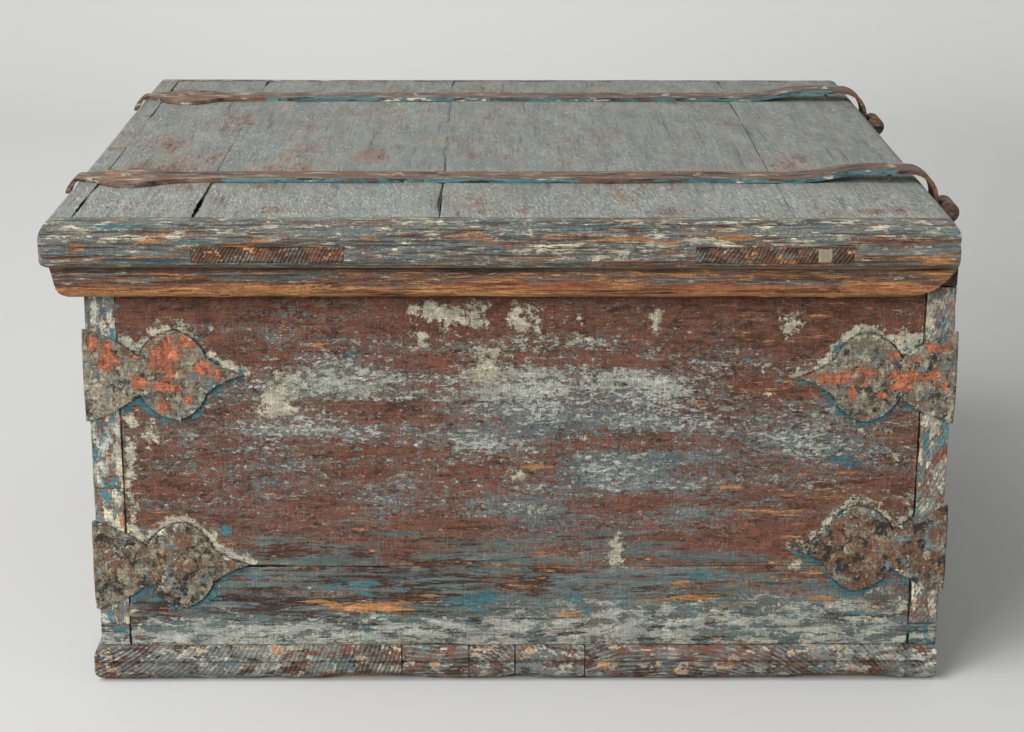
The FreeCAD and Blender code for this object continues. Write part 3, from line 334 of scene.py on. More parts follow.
class Skin(Shade):
    """A material in the making: coats are laid over its colour and its height."""

    def __init__(self, name):
        self.material = bpy.data.materials.new(name)
        self.material.use_nodes = True
        self.material.node_tree.nodes.clear()
        super().__init__(self.material.node_tree)
        scene = bpy.context.scene
        self.paints, self.woods, self.irons = scene.chest_paints, scene.chest_woods, scene.chest_irons
        self.place = self.add("TexCoord").outputs["Object"]
        self.colour, self.height = None, 0.0

    def part(self, axis):
        return self.add("SeparateXYZ", {0: self.place}).outputs[axis]

    def pine(self, along, light, dark):
        """Bare pine with its fibres along an axis: its colour, its height and its fibre group."""
        grain = self.group("Wood fibre", Vector=self.stretch(self.place, long_grain(along)), Scale=420.0)
        warm = self.blend(self.shift(grain.outputs["Fibre"], 0.36, 0.62), dark, light)
        warm = self.blend(self.times(self.shift(grain.outputs["Figure"], 0.35, 0.65), 0.35), warm, light)
        return warm, self.times(grain.outputs["Fibre"], 0.35), grain

    def start_pine(self, along):
        self.colour, self.height, grain = self.pine(along, self.woods.bare, self.woods.bare_dark)
        return grain

    def start_rings(self, centre, pitch, light, dark, depth):
        """Starts from sawn end grain, and gives its group."""
        rings = self.group("End grain", Vector=self.place, Centre=centre, Pitch=pitch)
        self.colour = self.blend(rings.outputs["Rings"], dark, light)
        self.height = self.times(rings.outputs["Rings"], depth)
        return rings

    def start_iron(self, vector, tone_from, tone_to, size=1.0):
        """Starts from clouded iron scale, and gives its group."""
        scale = self.group("Iron scale", Vector=vector, Scale=size)
        self.colour = self.blend(self.shift(scale.outputs["Clouds"], 0.40, 0.60), tone_from, tone_to)
        self.height = scale.outputs["Height"]
        return scale

    def coat(self, vector, paint_colour, cover, scale, soft=0.01, ragged=0.68, thick=0.15):
        """Lays one worn coat over what is there, and gives its mask."""
        node = self.group("Worn paint", Vector=vector, Below=self.colour, Paint=paint_colour, Cover=cover,
                          Scale=scale, Soft=soft, Ragged=ragged, Thick=thick, Height=self.height)
        self.colour, self.height = node.outputs["Color"], node.outputs["Height"]
        return node.outputs["Mask"]

    def over(self, mask, strength, colour):
        self.colour = self.blend(self.times(mask, strength), self.colour, colour)

    def wear_edges(self, vector, amount, strength, below):
        """Shows what lies below along the worn edges."""
        nearness = self.mark("rim")
        self.over(self.group("Edge wear", Vector=vector, Nearness=nearness, Amount=amount).outputs["Mask"],
                  strength, below)

    def scratch(self, depth):
        """Draws hairlines over the colour, and gives their height."""
        lines = self.group("Hairlines", Vector=self.place, Color=self.colour, Depth=depth)
        self.colour = lines.outputs["Color"]
        return lines.outputs["Height"]

    def darken(self, mask, strength=1.0):
        # Lays the gap colour over the mask: used for dirt in cracks and joints, and also for painted shade.
        held = self.math("MULTIPLY", mask, strength, clamp=True)
        self.colour = self.blend(held, self.colour, self.woods.gap)

    def raise_by(self, value, amount):
        self.height = self.plus(self.height, self.times(value, amount))

    def bare_inside(self, along):
        """Turns to old bare pine where the inner mark is set."""
        inside = self.woods.inside
        pine, rise, _ = self.pine(along, inside, tuple(c * 0.62 for c in inside))
        inner = self.mark("inner")
        self.height = self.add("Mix", {0: inner, 2: self.height, 3: rise}, data_type="FLOAT").outputs[0]
        self.colour = self.blend(inner, self.colour, pine)

    def done(self, roughness=0.75, depth=0.0006, specular=0.35, metallic=0.0):
        bump = self.add("Bump", {"Height": self.height, "Distance": depth, "Strength": 1.0})
        shader = self.add("BsdfPrincipled", {"Base Color": self.colour, "Roughness": roughness,
                                             "Metallic": metallic, "Normal": bump.outputs[0],
                                             "Specular IOR Level": specular})
        self.add("OutputMaterial", {"Surface": shader.outputs[0]})
        return self.material


def open_joints(sh):
    """Dark gaps beside the front and back boards, and in the seam beyond the lower iron's tip."""
    place, across, rise = sh.place, sh.part(1), sh.part(2)
    ragged = sh.times(sh.noise(place, 220.0, 4.0, 0.7), 0.0016)
    from_joint = sh.math("ABSOLUTE", sh.minus(sh.math("ABSOLUTE", across), SIDE_FACE - BOARD))
    broken = sh.shift(sh.noise(sh.stretch(place, (1, 1, 0.5)), 60.0, 3.0, 0.6), 0.42, 0.48)
    joint = sh.times(sh.math("LESS_THAN", from_joint, ragged), broken)
    from_seam = sh.math("ABSOLUTE", sh.minus(rise, END_SEAM))
    reach = sh.times(sh.shift(across, -0.185, -0.180), sh.shift(across, -0.130, -0.150))
    seam = sh.math("LESS_THAN", from_seam, sh.times(ragged, reach))
    return sh.math("MAXIMUM", joint, seam)


def panel_paint(name, along):
    """Layered, scraped paint of the carcase, maroon above and green-grey at the foot."""
    sh = Skin(name)
    paints, woods, place = sh.paints, sh.woods, sh.place
    rise = sh.part(2)
    brushed = sh.stretch(place, long_grain(along, 0.42))
    drawn = sh.stretch(place, long_grain(along, 0.10), (0.3, 0.1, 0.7))
    swept = sh.stretch(place, long_grain(along, 0.30), (0.3, 0.1, 0.7))
    flake = sh.stretch(place, long_grain(along, 0.75), (0.9, 0.2, 0.4))
    wander = sh.times(sh.minus(sh.noise(drawn, 20.0, 6.0, 0.7), 0.5), 0.16)
    level = sh.plus(sh.plus(rise, wander), sh.times(sh.mark("brown"), 0.030))
    low_zone = sh.shift(level, FOOT + 0.098, FOOT + 0.034)
    band_zone = sh.shift(sh.plus(rise, sh.times(wander, 0.4)), FOOT + 0.034, FOOT + 0.018)
    top_zone = sh.shift(level, RIM - 0.075, RIM - 0.040)
    upper = sh.minus(1.0, low_zone)
    pale = sh.mark("pale")
    haze = sh.plus(sh.shift(top_zone, 0.0, 1.0, 0.19, 0.06), sh.times(pale, 0.56))
    streaks = sh.noise(sh.stretch(place, long_grain(along, 0.13), (0.6, 0.6, 0.2)), 70.0, 5.0, 0.7)
    haze = sh.times(haze, sh.shift(streaks, 0.36, 0.66, 0.35, 1.8))

    grain = sh.start_pine(along)
    sh.coat(brushed, paints.maroon, sh.shift(low_zone, 0.0, 1.0, 0.965, 0.82), 260.0)
    sh.coat(brushed, paints.brick, sh.patchy(swept, 18.0, 0.30, 0.7), 300.0, 0.03, 0.72)
    sh.coat(swept, paints.maroon_dark, sh.patchy(flake, 12.0, 0.17, 0.9), 300.0, 0.03, 0.76)
    cover = sh.patchy(swept, 20.0, sh.plus(sh.times(haze, 0.90), 0.14), 0.5)
    sh.coat(flake, paints.mauve, cover, 420.0, 0.022, 0.78, 0.05)
    cover = sh.times(sh.patchy(swept, 22.0, sh.times(haze, 1.25), 0.8, (5, 5, 5)), upper)
    sh.coat(brushed, paints.slate, cover, 440.0, 0.016, 0.76, 0.1)
    cover = sh.times(sh.patchy(swept, 24.0, sh.times(haze, 0.95), 1.1, (9, 2, 5)), upper)
    sh.coat(brushed, paints.chalk, cover, 540.0, 0.005, 0.76, 0.5)
    cover = sh.times(sh.patchy(swept, 20.0, sh.times(haze, 0.20), 1.4, (2, 9, 1)), upper)
    sh.coat(flake, paints.cream, cover, 420.0, 0.008, 0.76, 0.6)
    spots = sh.times(sh.patchy(flake, 22.0, 0.10, 1.4, (7, 7, 2)), upper)
    sh.coat(flake, woods.bare_dark, spots, 420.0, 0.015, 0.78, -0.3)
    cover = sh.patchy(drawn, 40.0, sh.shift(sh.mark("brown"), 0.0, 1.0, 0.03, 0.16), 1.0, (7, 1, 2))
    sh.coat(swept, woods.bare_dark, sh.times(cover, upper), 260.0, 0.02, 0.76, -0.1)
    sh.coat(drawn, woods.bare, sh.times(cover, 0.35), 330.0, 0.012, 0.74, -0.2)

    cover = sh.patchy(drawn, 40.0, sh.times(low_zone, 0.74), 0.45)
    sh.coat(drawn, paints.sea, cover, 190.0, 0.03, 0.80, 0.1)
    cover = sh.patchy(drawn, 34.0, sh.times(low_zone, 0.34), 0.9, (2, 7, 5))
    sh.coat(drawn, paints.slate, cover, 150.0, 0.04, 0.76, 0.1)
    cover = sh.patchy(drawn, 22.0, sh.times(low_zone, 0.30), 1.1, (4, 1, 5))
    sh.coat(drawn, paints.maroon_dark, cover, 220.0, 0.03, 0.78, -0.1)
    cover = sh.patchy(drawn, 30.0, sh.times(band_zone, 0.54), 0.5, (3, 3, 8))
    sh.coat(swept, paints.chalk, cover, 190.0, 0.025, 0.78, 0.2)
    cover = sh.patchy(swept, 26.0, sh.times(band_zone, 0.11), 1.1, (3, 6, 1))
    sh.coat(flake, paints.cream, cover, 220.0, 0.01, 0.76, 0.4)
    cover = sh.plus(sh.times(sh.mark("blue"), 0.46), sh.times(low_zone, 0.07))
    sh.coat(swept, paints.teal, sh.patchy(swept, 40.0, cover, 0.5), 220.0, 0.012, 0.74, 0.2)
    cover = sh.plus(sh.times(sh.mark("ochre"), 0.56), sh.times(low_zone, 0.05))
    sh.coat(drawn, woods.bare, sh.patchy(drawn, 44.0, cover, 0.5, (1, 1, 4)), 220.0, 0.012, 0.74, -0.2)

    near_iron, over = sh.mark("lip"), sh.mark("over")
    close = sh.shift(near_iron, 0.009, 0.001)
    lip = sh.times(close, sh.shift(over, -0.6, 0.5, 0.14, 0.78))
    mottle = sh.patchy(flake, 22.0, 0.026, 2.4, (4, 4, 4))
    patches = sh.patchy(flake, 120.0, sh.times(sh.mark("cream"), 0.84), 0.55, (2, 2, 6))
    cover = sh.plus(sh.plus(sh.patchy(flake, 34.0, lip, 0.8), mottle), patches)
    sh.coat(flake, paints.cream, cover, 190.0, 0.005, 0.84, 0.9)
    under = sh.times(sh.shift(near_iron, 0.006, 0.0008), sh.shift(over, 0.3, -0.4, 0.12, 0.75))
    cover = sh.plus(sh.patchy(flake, 34.0, under, 0.8, (8, 8, 8)),
                    sh.plus(sh.patchy(flake, 18.0, 0.014, 2.4), sh.times(sh.mark("corner"), 0.25)))
    sh.coat(flake, paints.teal, cover, 210.0, 0.008, 0.72, 0.5)

    sh.wear_edges(flake, 0.46, 0.7, sh.pine(along, woods.bare, woods.bare_dark)[0])
    lines = sh.scratch(0.62)
    fibre = sh.times(grain.outputs["Split"], sh.plus(0.25, sh.times(low_zone, 0.5)))
    sh.darken(fibre, 0.75)
    # Dark line along the irons' outlines: dirt in the seam between iron and board, and painted shade at the
    # iron's edge.
    sh.darken(sh.shift(near_iron, 0.0018, 0.0004), 0.8)
    if along == 1:
        sh.darken(open_joints(sh))
    # Painted shade under the lid's moulding: the panel is darkened towards its top edge.
    sh.darken(sh.shift(rise, RIM - 0.036, RIM - 0.018), 0.40)
    sh.raise_by(grain.outputs["Fibre"], 0.4)
    sh.raise_by(lines, 0.6)
    sh.bare_inside(along)
    return sh.done(0.78, 0.0011)


def corner_end_paint(name):
    """The ends of the front and back boards at the corners, thick with cream and teal."""
    sh = Skin(name)
    paints, woods, place = sh.paints, sh.woods, sh.place
    upright = sh.stretch(place, (1, 1, 0.5))
    sh.start_rings((0.22, -0.20, 0.40), 380.0, woods.bare, woods.bare_dark, 0.3)
    sh.coat(place, paints.maroon, 0.85, 110.0)
    sh.coat(upright, paints.mauve, 0.45, 130.0, 0.03)
    sh.coat(upright, paints.slate, sh.patchy(place, 20.0, 0.50, 0.6), 240.0, 0.02)
    sh.coat(upright, paints.chalk, sh.patchy(place, 30.0, 0.34, 0.9), 120.0, 0.01, 0.78, 0.3)
    sh.coat(upright, paints.teal, sh.patchy(place, 40.0, 0.26, 1.2), 95.0, 0.008, 0.76, 0.3)
    sh.coat(upright, paints.cream, sh.patchy(place, 44.0, 0.34, 1.1), 85.0, 0.006, 0.78, 0.6)
    sh.coat(place, woods.bare, sh.patchy(place, 24.0, 0.06, 1.2), 110.0, 0.01, 0.7, -0.3)
    sh.wear_edges(place, 0.45, 0.5, woods.bare_dark)
    sh.scratch(0.6)
    return sh.done(0.78, 0.0008)


def lid_paint(name, along):
    """Thin chalky grey-blue over brown, scratched along the boards."""
    sh = Skin(name)
    paints, place = sh.paints, sh.place
    leaning = sh.add("Mapping", {"Vector": place, "Rotation": (0, 0, -0.22)}).outputs[0]
    drawn = sh.stretch(place, long_grain(along, 0.07), (0.1, 0.5, 0.2))
    scratched = sh.stretch(leaning, long_grain(along, 0.17), (0.1, 0.5, 0.2))
    brushed = sh.stretch(place, long_grain(along, 0.3), (0.4, 0.6, 0.1))
    red = sh.mark("red")
    grain = sh.start_pine(along)
    sh.coat(brushed, paints.maroon, 0.95, 220.0)
    sh.coat(brushed, paints.mauve, sh.patchy(brushed, 24.0, 0.86, 0.2), 160.0, 0.08, 0.72, 0.05)
    cover = sh.minus(0.86, sh.times(red, 0.40))
    sh.coat(drawn, paints.slate, sh.patchy(drawn, 30.0, cover, 0.25), 200.0, 0.12, 0.72, 0.1)
    cover = sh.minus(0.66, sh.times(red, 0.50))
    sh.coat(brushed, paints.lid_blue, sh.patchy(brushed, 14.0, cover, 0.4), 150.0, 0.16, 0.72, 0.1)
    near_end = sh.shift(sh.part(0), CLEAT_INNER - 0.11, CLEAT_INNER - 0.05, 0.25, 1.0)
    cover = sh.times(sh.patchy(brushed, 30.0, red, 0.5), 0.66)
    sh.coat(brushed, paints.mauve, cover, 120.0, 0.05, 0.76, 0.0)
    cover = sh.times(sh.patchy(brushed, 26.0, 0.17, 0.9), near_end)
    sh.coat(scratched, paints.chalk, cover, 900.0, 0.14, 0.66, 0.3)
    cover = sh.times(sh.patchy(brushed, 30.0, 0.035, 1.4), near_end)
    sh.coat(scratched, paints.cream, cover, 420.0, 0.015, 0.76, 0.4)
    cover = sh.times(sh.patchy(brushed, 30.0, red, 0.7), 0.55)
    sh.coat(brushed, sh.blend(0.5, paints.maroon, paints.mauve), cover, 110.0, 0.09, 0.76, -0.1)
    cover = sh.plus(sh.times(cover, 0.35), sh.times(near_end, 0.05))
    sh.coat(brushed, paints.maroon_dark, cover, 260.0, 0.05, 0.78, -0.1)
    sh.scratch(0.18)
    sh.darken(grain.outputs["Split"], 0.30)
    sh.wear_edges(brushed, 0.34, 0.6, paints.maroon)
    sh.darken(sh.mark("gap"))
    sh.raise_by(grain.outputs["Fibre"], 0.7)
    sh.bare_inside(along)
    return sh.done(0.74, 0.0007)


def streaked_paint(name, along, under, grey, bare, red, shade=None):
    """Paint worn to long streaks, as on the lid's cleats and the moulding under them; shade, when given,
    darkens a band as painted shade.
    """
    sh = Skin(name)
    paints, woods, place = sh.paints, sh.woods, sh.place
    rise = sh.part(2)
    drawn = sh.stretch(place, long_grain(along, 0.035), (0.2, 0.3, 0.8))
    brushed = sh.stretch(place, long_grain(along, 0.09), (0.7, 0.1, 0.5))
    flake = sh.stretch(place, long_grain(along, 0.22), (0.3, 0.8, 0.2))
    grain = sh.start_pine(along)
    sh.coat(drawn, under, 0.82, 380.0, 0.02, 0.74)
    sh.coat(brushed, paints.mauve, sh.patchy(brushed, 30.0, 0.40, 0.6), 340.0, 0.03, 0.76)
    sh.coat(drawn, paints.slate, sh.patchy(brushed, 24.0, grey, 0.5), 380.0, 0.025, 0.76, 0.2)
    sh.coat(brushed, paints.lid_blue, sh.patchy(brushed, 30.0, grey * 0.8, 0.6, (3, 1, 2)),
            360.0, 0.02, 0.78, 0.3)
    sh.coat(flake, paints.cream, sh.patchy(brushed, 36.0, grey * 0.56, 0.8, (1, 8, 2)),
            330.0, 0.006, 0.82, 0.6)
    sh.coat(drawn, paints.teal, sh.patchy(brushed, 28.0, grey * 0.16, 1.2, (7, 2, 2)),
            320.0, 0.012, 0.74, 0.3)
    sh.coat(drawn, paints.brick, sh.patchy(brushed, 28.0, red, 0.8, (2, 9, 6)), 330.0, 0.015, 0.74, 0.0)
    cover = sh.plus(sh.patchy(brushed, 26.0, bare, 0.9, (6, 3, 3)), sh.times(sh.mark("ochre"), 0.70))
    sh.coat(brushed, woods.bare, cover, 300.0, 0.01, 0.74, -0.5)
    cover = sh.patchy(brushed, 40.0, sh.plus(0.05, sh.times(sh.mark("ochre"), 0.08)), 0.8)
    sh.coat(drawn, paints.maroon_dark, cover, 520.0, 0.03, 0.72, 0.0)
    flash = sh.times(sh.mark("coral"), 0.46)
    sh.coat(drawn, paints.coral, sh.patchy(brushed, 30.0, flash, 0.6), 320.0, 0.02, 0.7, 0.1)
    furrow = sh.shift(sh.noise(drawn, 420.0, 4.0, 0.7), 0.45, 0.39)
    sh.scratch(0.7)
    sh.darken(furrow, 0.58)
    sh.wear_edges(flake, 0.38, 0.6, woods.bare_dark)
    # Painted shade: a band at the top of the moulding, just under the lid, is darkened.
    if shade:
        sh.darken(sh.shift(rise, *shade), 0.85)
    sh.raise_by(grain.outputs["Fibre"], 0.7)
    sh.raise_by(furrow, -0.9)
    sh.bare_inside(along)
    return sh.done(0.70, 0.0010)


def end_grain_paint(name, centre, pitch, amounts):
    """Sawn end grain with worn paint in it: tenon ends and the ends of the bottom boards."""
    sh = Skin(name)
    paints, woods, place = sh.paints, sh.woods, sh.place
    flat = sh.stretch(place, (1, 0.5, 1))
    rings = sh.start_rings(centre, pitch, woods.bare_dark, woods.end_dark, 0.6)
    sh.coat(flat, paints.maroon, amounts["maroon"], 120.0, 0.03)
    for coat_name, scale, soft, thick in (("slate", 150.0, 0.03, 0.1), ("lid_blue", 170.0, 0.03, 0.2),
                                          ("chalk", 180.0, 0.02, 0.3)):
        colour = getattr(paints, coat_name)
        cover = sh.patchy(flat, 24.0, amounts[coat_name], 0.5, (scale, 0, 0))
        below, mask = sh.colour, sh.coat(flat, colour, cover, scale, soft, 0.76, thick)
        hatched = sh.shift(sh.noise(flat, 14.0, 2.0, 0.5), 0.46, 0.60)
        least = sh.minus(1.0, sh.times(hatched, 0.75))
        cut = sh.add("MapRange", {0: rings.outputs["Rings"], 3: least, 4: 1.0}).outputs[0]
        sh.colour = sh.blend(sh.times(mask, cut), below, sh.colour)
    for colour, part, scale in ((paints.cream, "cream", 130.0), (paints.teal, "teal", 150.0),
                                (woods.bare, "bare", 130.0)):
        cover = sh.patchy(flat, 22.0, amounts[part], 1.1, (0, scale, 0))
        sh.coat(flat, colour, cover, scale, 0.01, 0.74, 0.3)
    sh.wear_edges(flat, 0.42, 0.7, woods.bare_dark)
    sh.scratch(0.5)
    sh.raise_by(rings.outputs["Pores"], 0.5)
    sh.bare_inside(0)
    return sh.done(0.8, 0.0008)


def corner_iron_scale(name, brown, coral):
    """Old iron under speckled paint: olive-grey above, browner at the foot; faces that look down are darkened
    as painted shade.
    """
    sh = Skin(name)
    paints, irons, place = sh.paints, sh.irons, sh.place
    scale = sh.start_iron(place, irons.pit, irons.olive)
    sh.coat(place, irons.rust, sh.patchy(place, 22.0, brown, 1.2), 80.0, 0.02, 0.72, 0.05)
    cover = sh.patchy(place, 24.0, 0.56 - 0.28 * brown, 1.0)
    sh.coat(place, irons.olive, cover, 130.0, 0.02, 0.76, 0.2)
    sh.coat(place, irons.pale, sh.patchy(place, 34.0, 0.42 - 0.36 * brown, 1.0, (3, 3, 3)),
            150.0, 0.010, 0.80, 0.3)
    sh.coat(place, paints.slate, sh.patchy(place, 30.0, 0.16, 1.2, (6, 3, 3)), 110.0, 0.02)
    sh.coat(place, paints.chalk, sh.patchy(place, 40.0, 0.14, 1.1, (9, 3, 3)), 330.0, 0.008, 0.80, 0.5)
    cover = sh.patchy(place, 36.0, 0.07 + 0.16 * brown, 1.2, (1, 7, 3))
    sh.coat(place, irons.pit, cover, 120.0, 0.02, 0.78, -0.4)
    red = sh.times(sh.mark("coral"), coral * 1.15)
    sh.coat(place, paints.coral, sh.patchy(place, 90.0, red, 0.25), 190.0, 0.006, 0.80, 0.6)
    near = sh.mark("rim")
    cover = sh.patchy(place, 40.0, sh.times(near, 0.26), 1.2, (4, 1, 9))
    sh.coat(place, paints.teal, cover, 170.0, 0.01, 0.7, 0.4)
    cover = sh.patchy(place, 36.0, sh.times(near, 0.20), 1.2, (2, 8, 9))
    sh.coat(place, paints.cream, cover, 170.0, 0.01, 0.74, 0.5)
    sh.scratch(0.9)
    sh.over(scale.outputs["Pits"], 0.6, irons.pit)
    # Painted shade: the faces of the irons that look down are darkened with the pit colour.
    sh.over(sh.mark("foot"), 0.85, irons.pit)
    return sh.done(0.62, 0.0012, 0.4)


def strap_rust(name):
    """Brown worn strap with teal paint left on its flanks."""
    sh = Skin(name)
    paints, irons, place = sh.paints, sh.irons, sh.place
    drawn = sh.stretch(place, (1, 0.2, 1))
    sh.start_iron(drawn, irons.rust, irons.strap)
    flank = sh.mark("flank")
    sh.coat(drawn, paints.mauve, sh.patchy(drawn, 26.0, 0.26, 0.8), 260.0, 0.02, 0.76, 0.1)
    sh.coat(drawn, irons.pale, sh.patchy(drawn, 30.0, 0.08, 1.0, (5, 0, 0)), 260.0, 0.015)
    sh.coat(drawn, irons.pit, sh.patchy(drawn, 24.0, 0.14, 1.0, (0, 5, 0)), 150.0, 0.02)
    red = sh.times(sh.mark("coral"), 0.6)
    sh.coat(drawn, paints.coral, red, 150.0, 0.012)
    cover = sh.patchy(drawn, 30.0, sh.times(flank, 0.78), 0.5, (0, 2, 7))
    dull_teal = tuple(c * 0.76 for c in paints.teal)
    sh.coat(drawn, dull_teal, cover, 170.0, 0.012, 0.74, 0.3)
    cover = sh.patchy(drawn, 30.0, sh.times(flank, 0.16), 1.0, (0, 3, 1))
    sh.coat(drawn, paints.cream, cover, 170.0, 0.01, 0.7, 0.3)
    cover = sh.patchy(drawn, 26.0, sh.times(flank, 0.18), 1.0, (3, 3, 1))
    sh.coat(drawn, irons.pit, cover, 260.0, 0.02, 0.74, -0.1)
    sh.scratch(0.5)
    return sh.done(0.6, 0.0007, 0.4)


def plain_iron(name, tone_from, tone_to, roughness, metal):
    """Small forged pieces: nails, lock and keyhole plate."""
    sh = Skin(name)
    scale = sh.start_iron(sh.place, tone_from, tone_to, 1.6)
    sh.over(scale.outputs["Pits"], 0.7, sh.irons.pit)
    sh.over(scale.outputs["Specks"], 0.25, sh.irons.pale)
    return sh.done(roughness, 0.0005, 0.45, metal)


# Mesh work

WELD = 1e-6
SHARP = 0.9
RIM_WIDTH = 0.004


def unit(values):
    """The values held between 0 and 1."""
    return np.clip(values, 0, 1)


def read(items, key):
    """One vector property of every vertex or face, as rows."""
    flat = np.empty(len(items) * 3)
    items.foreach_get(key, flat)
    return flat.reshape(-1, 3)


def put(name, data):
    """An object of the data, linked to the scene."""
    item = bpy.data.objects.new(name, data)
    bpy.context.scene.collection.objects.link(item)
    return item


def opened(node):
    """A CAD node's mesh for editing, with its doubled corners joined."""
    bm = bmesh.new()
    bm.from_mesh(frame["nodes"][node].data)
    bmesh.ops.remove_doubles(bm, verts=bm.verts, dist=WELD)
    return bm


def field(points, size, seed, stretch=(1, 1, 1)):
    """Smooth chance between -1 and 1 at the points, with bumps about as wide as the size."""
    table = np.random.default_rng(seed).uniform(-1, 1, 4096)
    place = points / (size * np.array(stretch)) + 57.0
    cell = np.floor(place).astype(np.int64)
    part = place - cell
    part = part * part * (3 - 2 * part)
    total = np.zeros(len(points))
    for corner in np.ndindex(2, 2, 2):
        at = cell + corner
        key = (at[:, 0] * 73856093 ^ at[:, 1] * 19349663 ^ at[:, 2] * 83492791) & 4095
        total += np.prod(np.where(corner, part, 1 - part), axis=1) * table[key]
    return total


def spread(places, blobs):
    """Strength at 2-D places of soft oval patches (across, up, half width, half height, strength), in mm."""
    total = np.zeros(len(places))
    for across, up, wide, high, strength in blobs:
        gap = (((places[:, :2] - (across * MM, up * MM)) / (wide * MM, high * MM)) ** 2).sum(axis=1)
        total = np.maximum(total, strength * np.exp(-0.8 * gap ** 1.3))
    return total


def slice_up(tris, axis, places, tolerance=1e-7):
    """Cuts a soup of triangles by planes across one axis."""
    done = []
    for place in sorted(places):
        heights = tris[:, :, axis]
        heights[np.abs(heights - place) < tolerance] = place
        passed = (heights <= place).all(axis=1)
        done.append(tris[passed])
        tris = tris[~passed]
        side = tris[:, :, axis] - place
        crossing = (side < 0).any(axis=1)
        cut, side, whole = tris[crossing], side[crossing], tris[~crossing]
        if not len(cut):
            continue
        above = side > 0
        lone = np.where(above.sum(axis=1) == 1, above.argmax(axis=1), (~above).argmax(axis=1))
        order = (lone[:, None] + np.arange(3)) % 3
        rows = np.arange(len(cut))[:, None]
        cut, side = cut[rows, order], side[rows, order]

        def meet(other):
            low_first = side[:, 0] < side[:, other]
            a = np.where(low_first[:, None], cut[:, 0], cut[:, other])
            b = np.where(low_first[:, None], cut[:, other], cut[:, 0])
            da = np.where(low_first, side[:, 0], side[:, other])
            db = np.where(low_first, side[:, other], side[:, 0])
            point = a + (b - a) * (-da / (db - da))[:, None]
            point[:, axis] = place
            return point

        one, two = meet(1), meet(2)
        new = np.concatenate([np.stack([cut[:, 0], one, two], 1), np.stack([one, cut[:, 1], two], 1),
                              np.stack([two, cut[:, 1], cut[:, 2]], 1)])
        low = (new[:, :, axis] <= place).all(axis=1)
        done.append(new[low])
        tris = np.concatenate([whole, new[~low]])
    return np.concatenate(done + [tris])


def welded(name, tris):
    """A mesh of the triangles, joined where their corners share one place exactly."""
    flat = tris.reshape(-1, 3) + 0.0
    code = flat.view(np.int64) @ np.array([0x9E3779B97F4A7C1, 0x2545F4914F6CDD1D, 0x1B873593CC9E2D51])
    _, first, index = np.unique(code, return_index=True, return_inverse=True)
    faces = index.reshape(-1, 3)
    faces = faces[(faces[:, 0] != faces[:, 1]) & (faces[:, 1] != faces[:, 2]) & (faces[:, 2] != faces[:, 0])]
    mesh = bpy.data.meshes.new(name)
    mesh.vertices.add(len(first))
    mesh.vertices.foreach_set("co", flat[first].ravel())
    mesh.loops.add(faces.size)
    mesh.loops.foreach_set("vertex_index", faces.ravel().astype(np.int32))
    mesh.polygons.add(len(faces))
    mesh.polygons.foreach_set("loop_start", np.arange(0, faces.size, 3, dtype=np.int32))
    mesh.update(calc_edges=True)
    return mesh


def steps_between(low, high, step, inset):
    """Places from low to high about a step apart, with one close inside each end."""
    count = max(1, round((high - low - 2 * inset) / step))
    return list(np.linspace(low + inset, high - inset, count + 1)) if high - low > 3 * inset else []


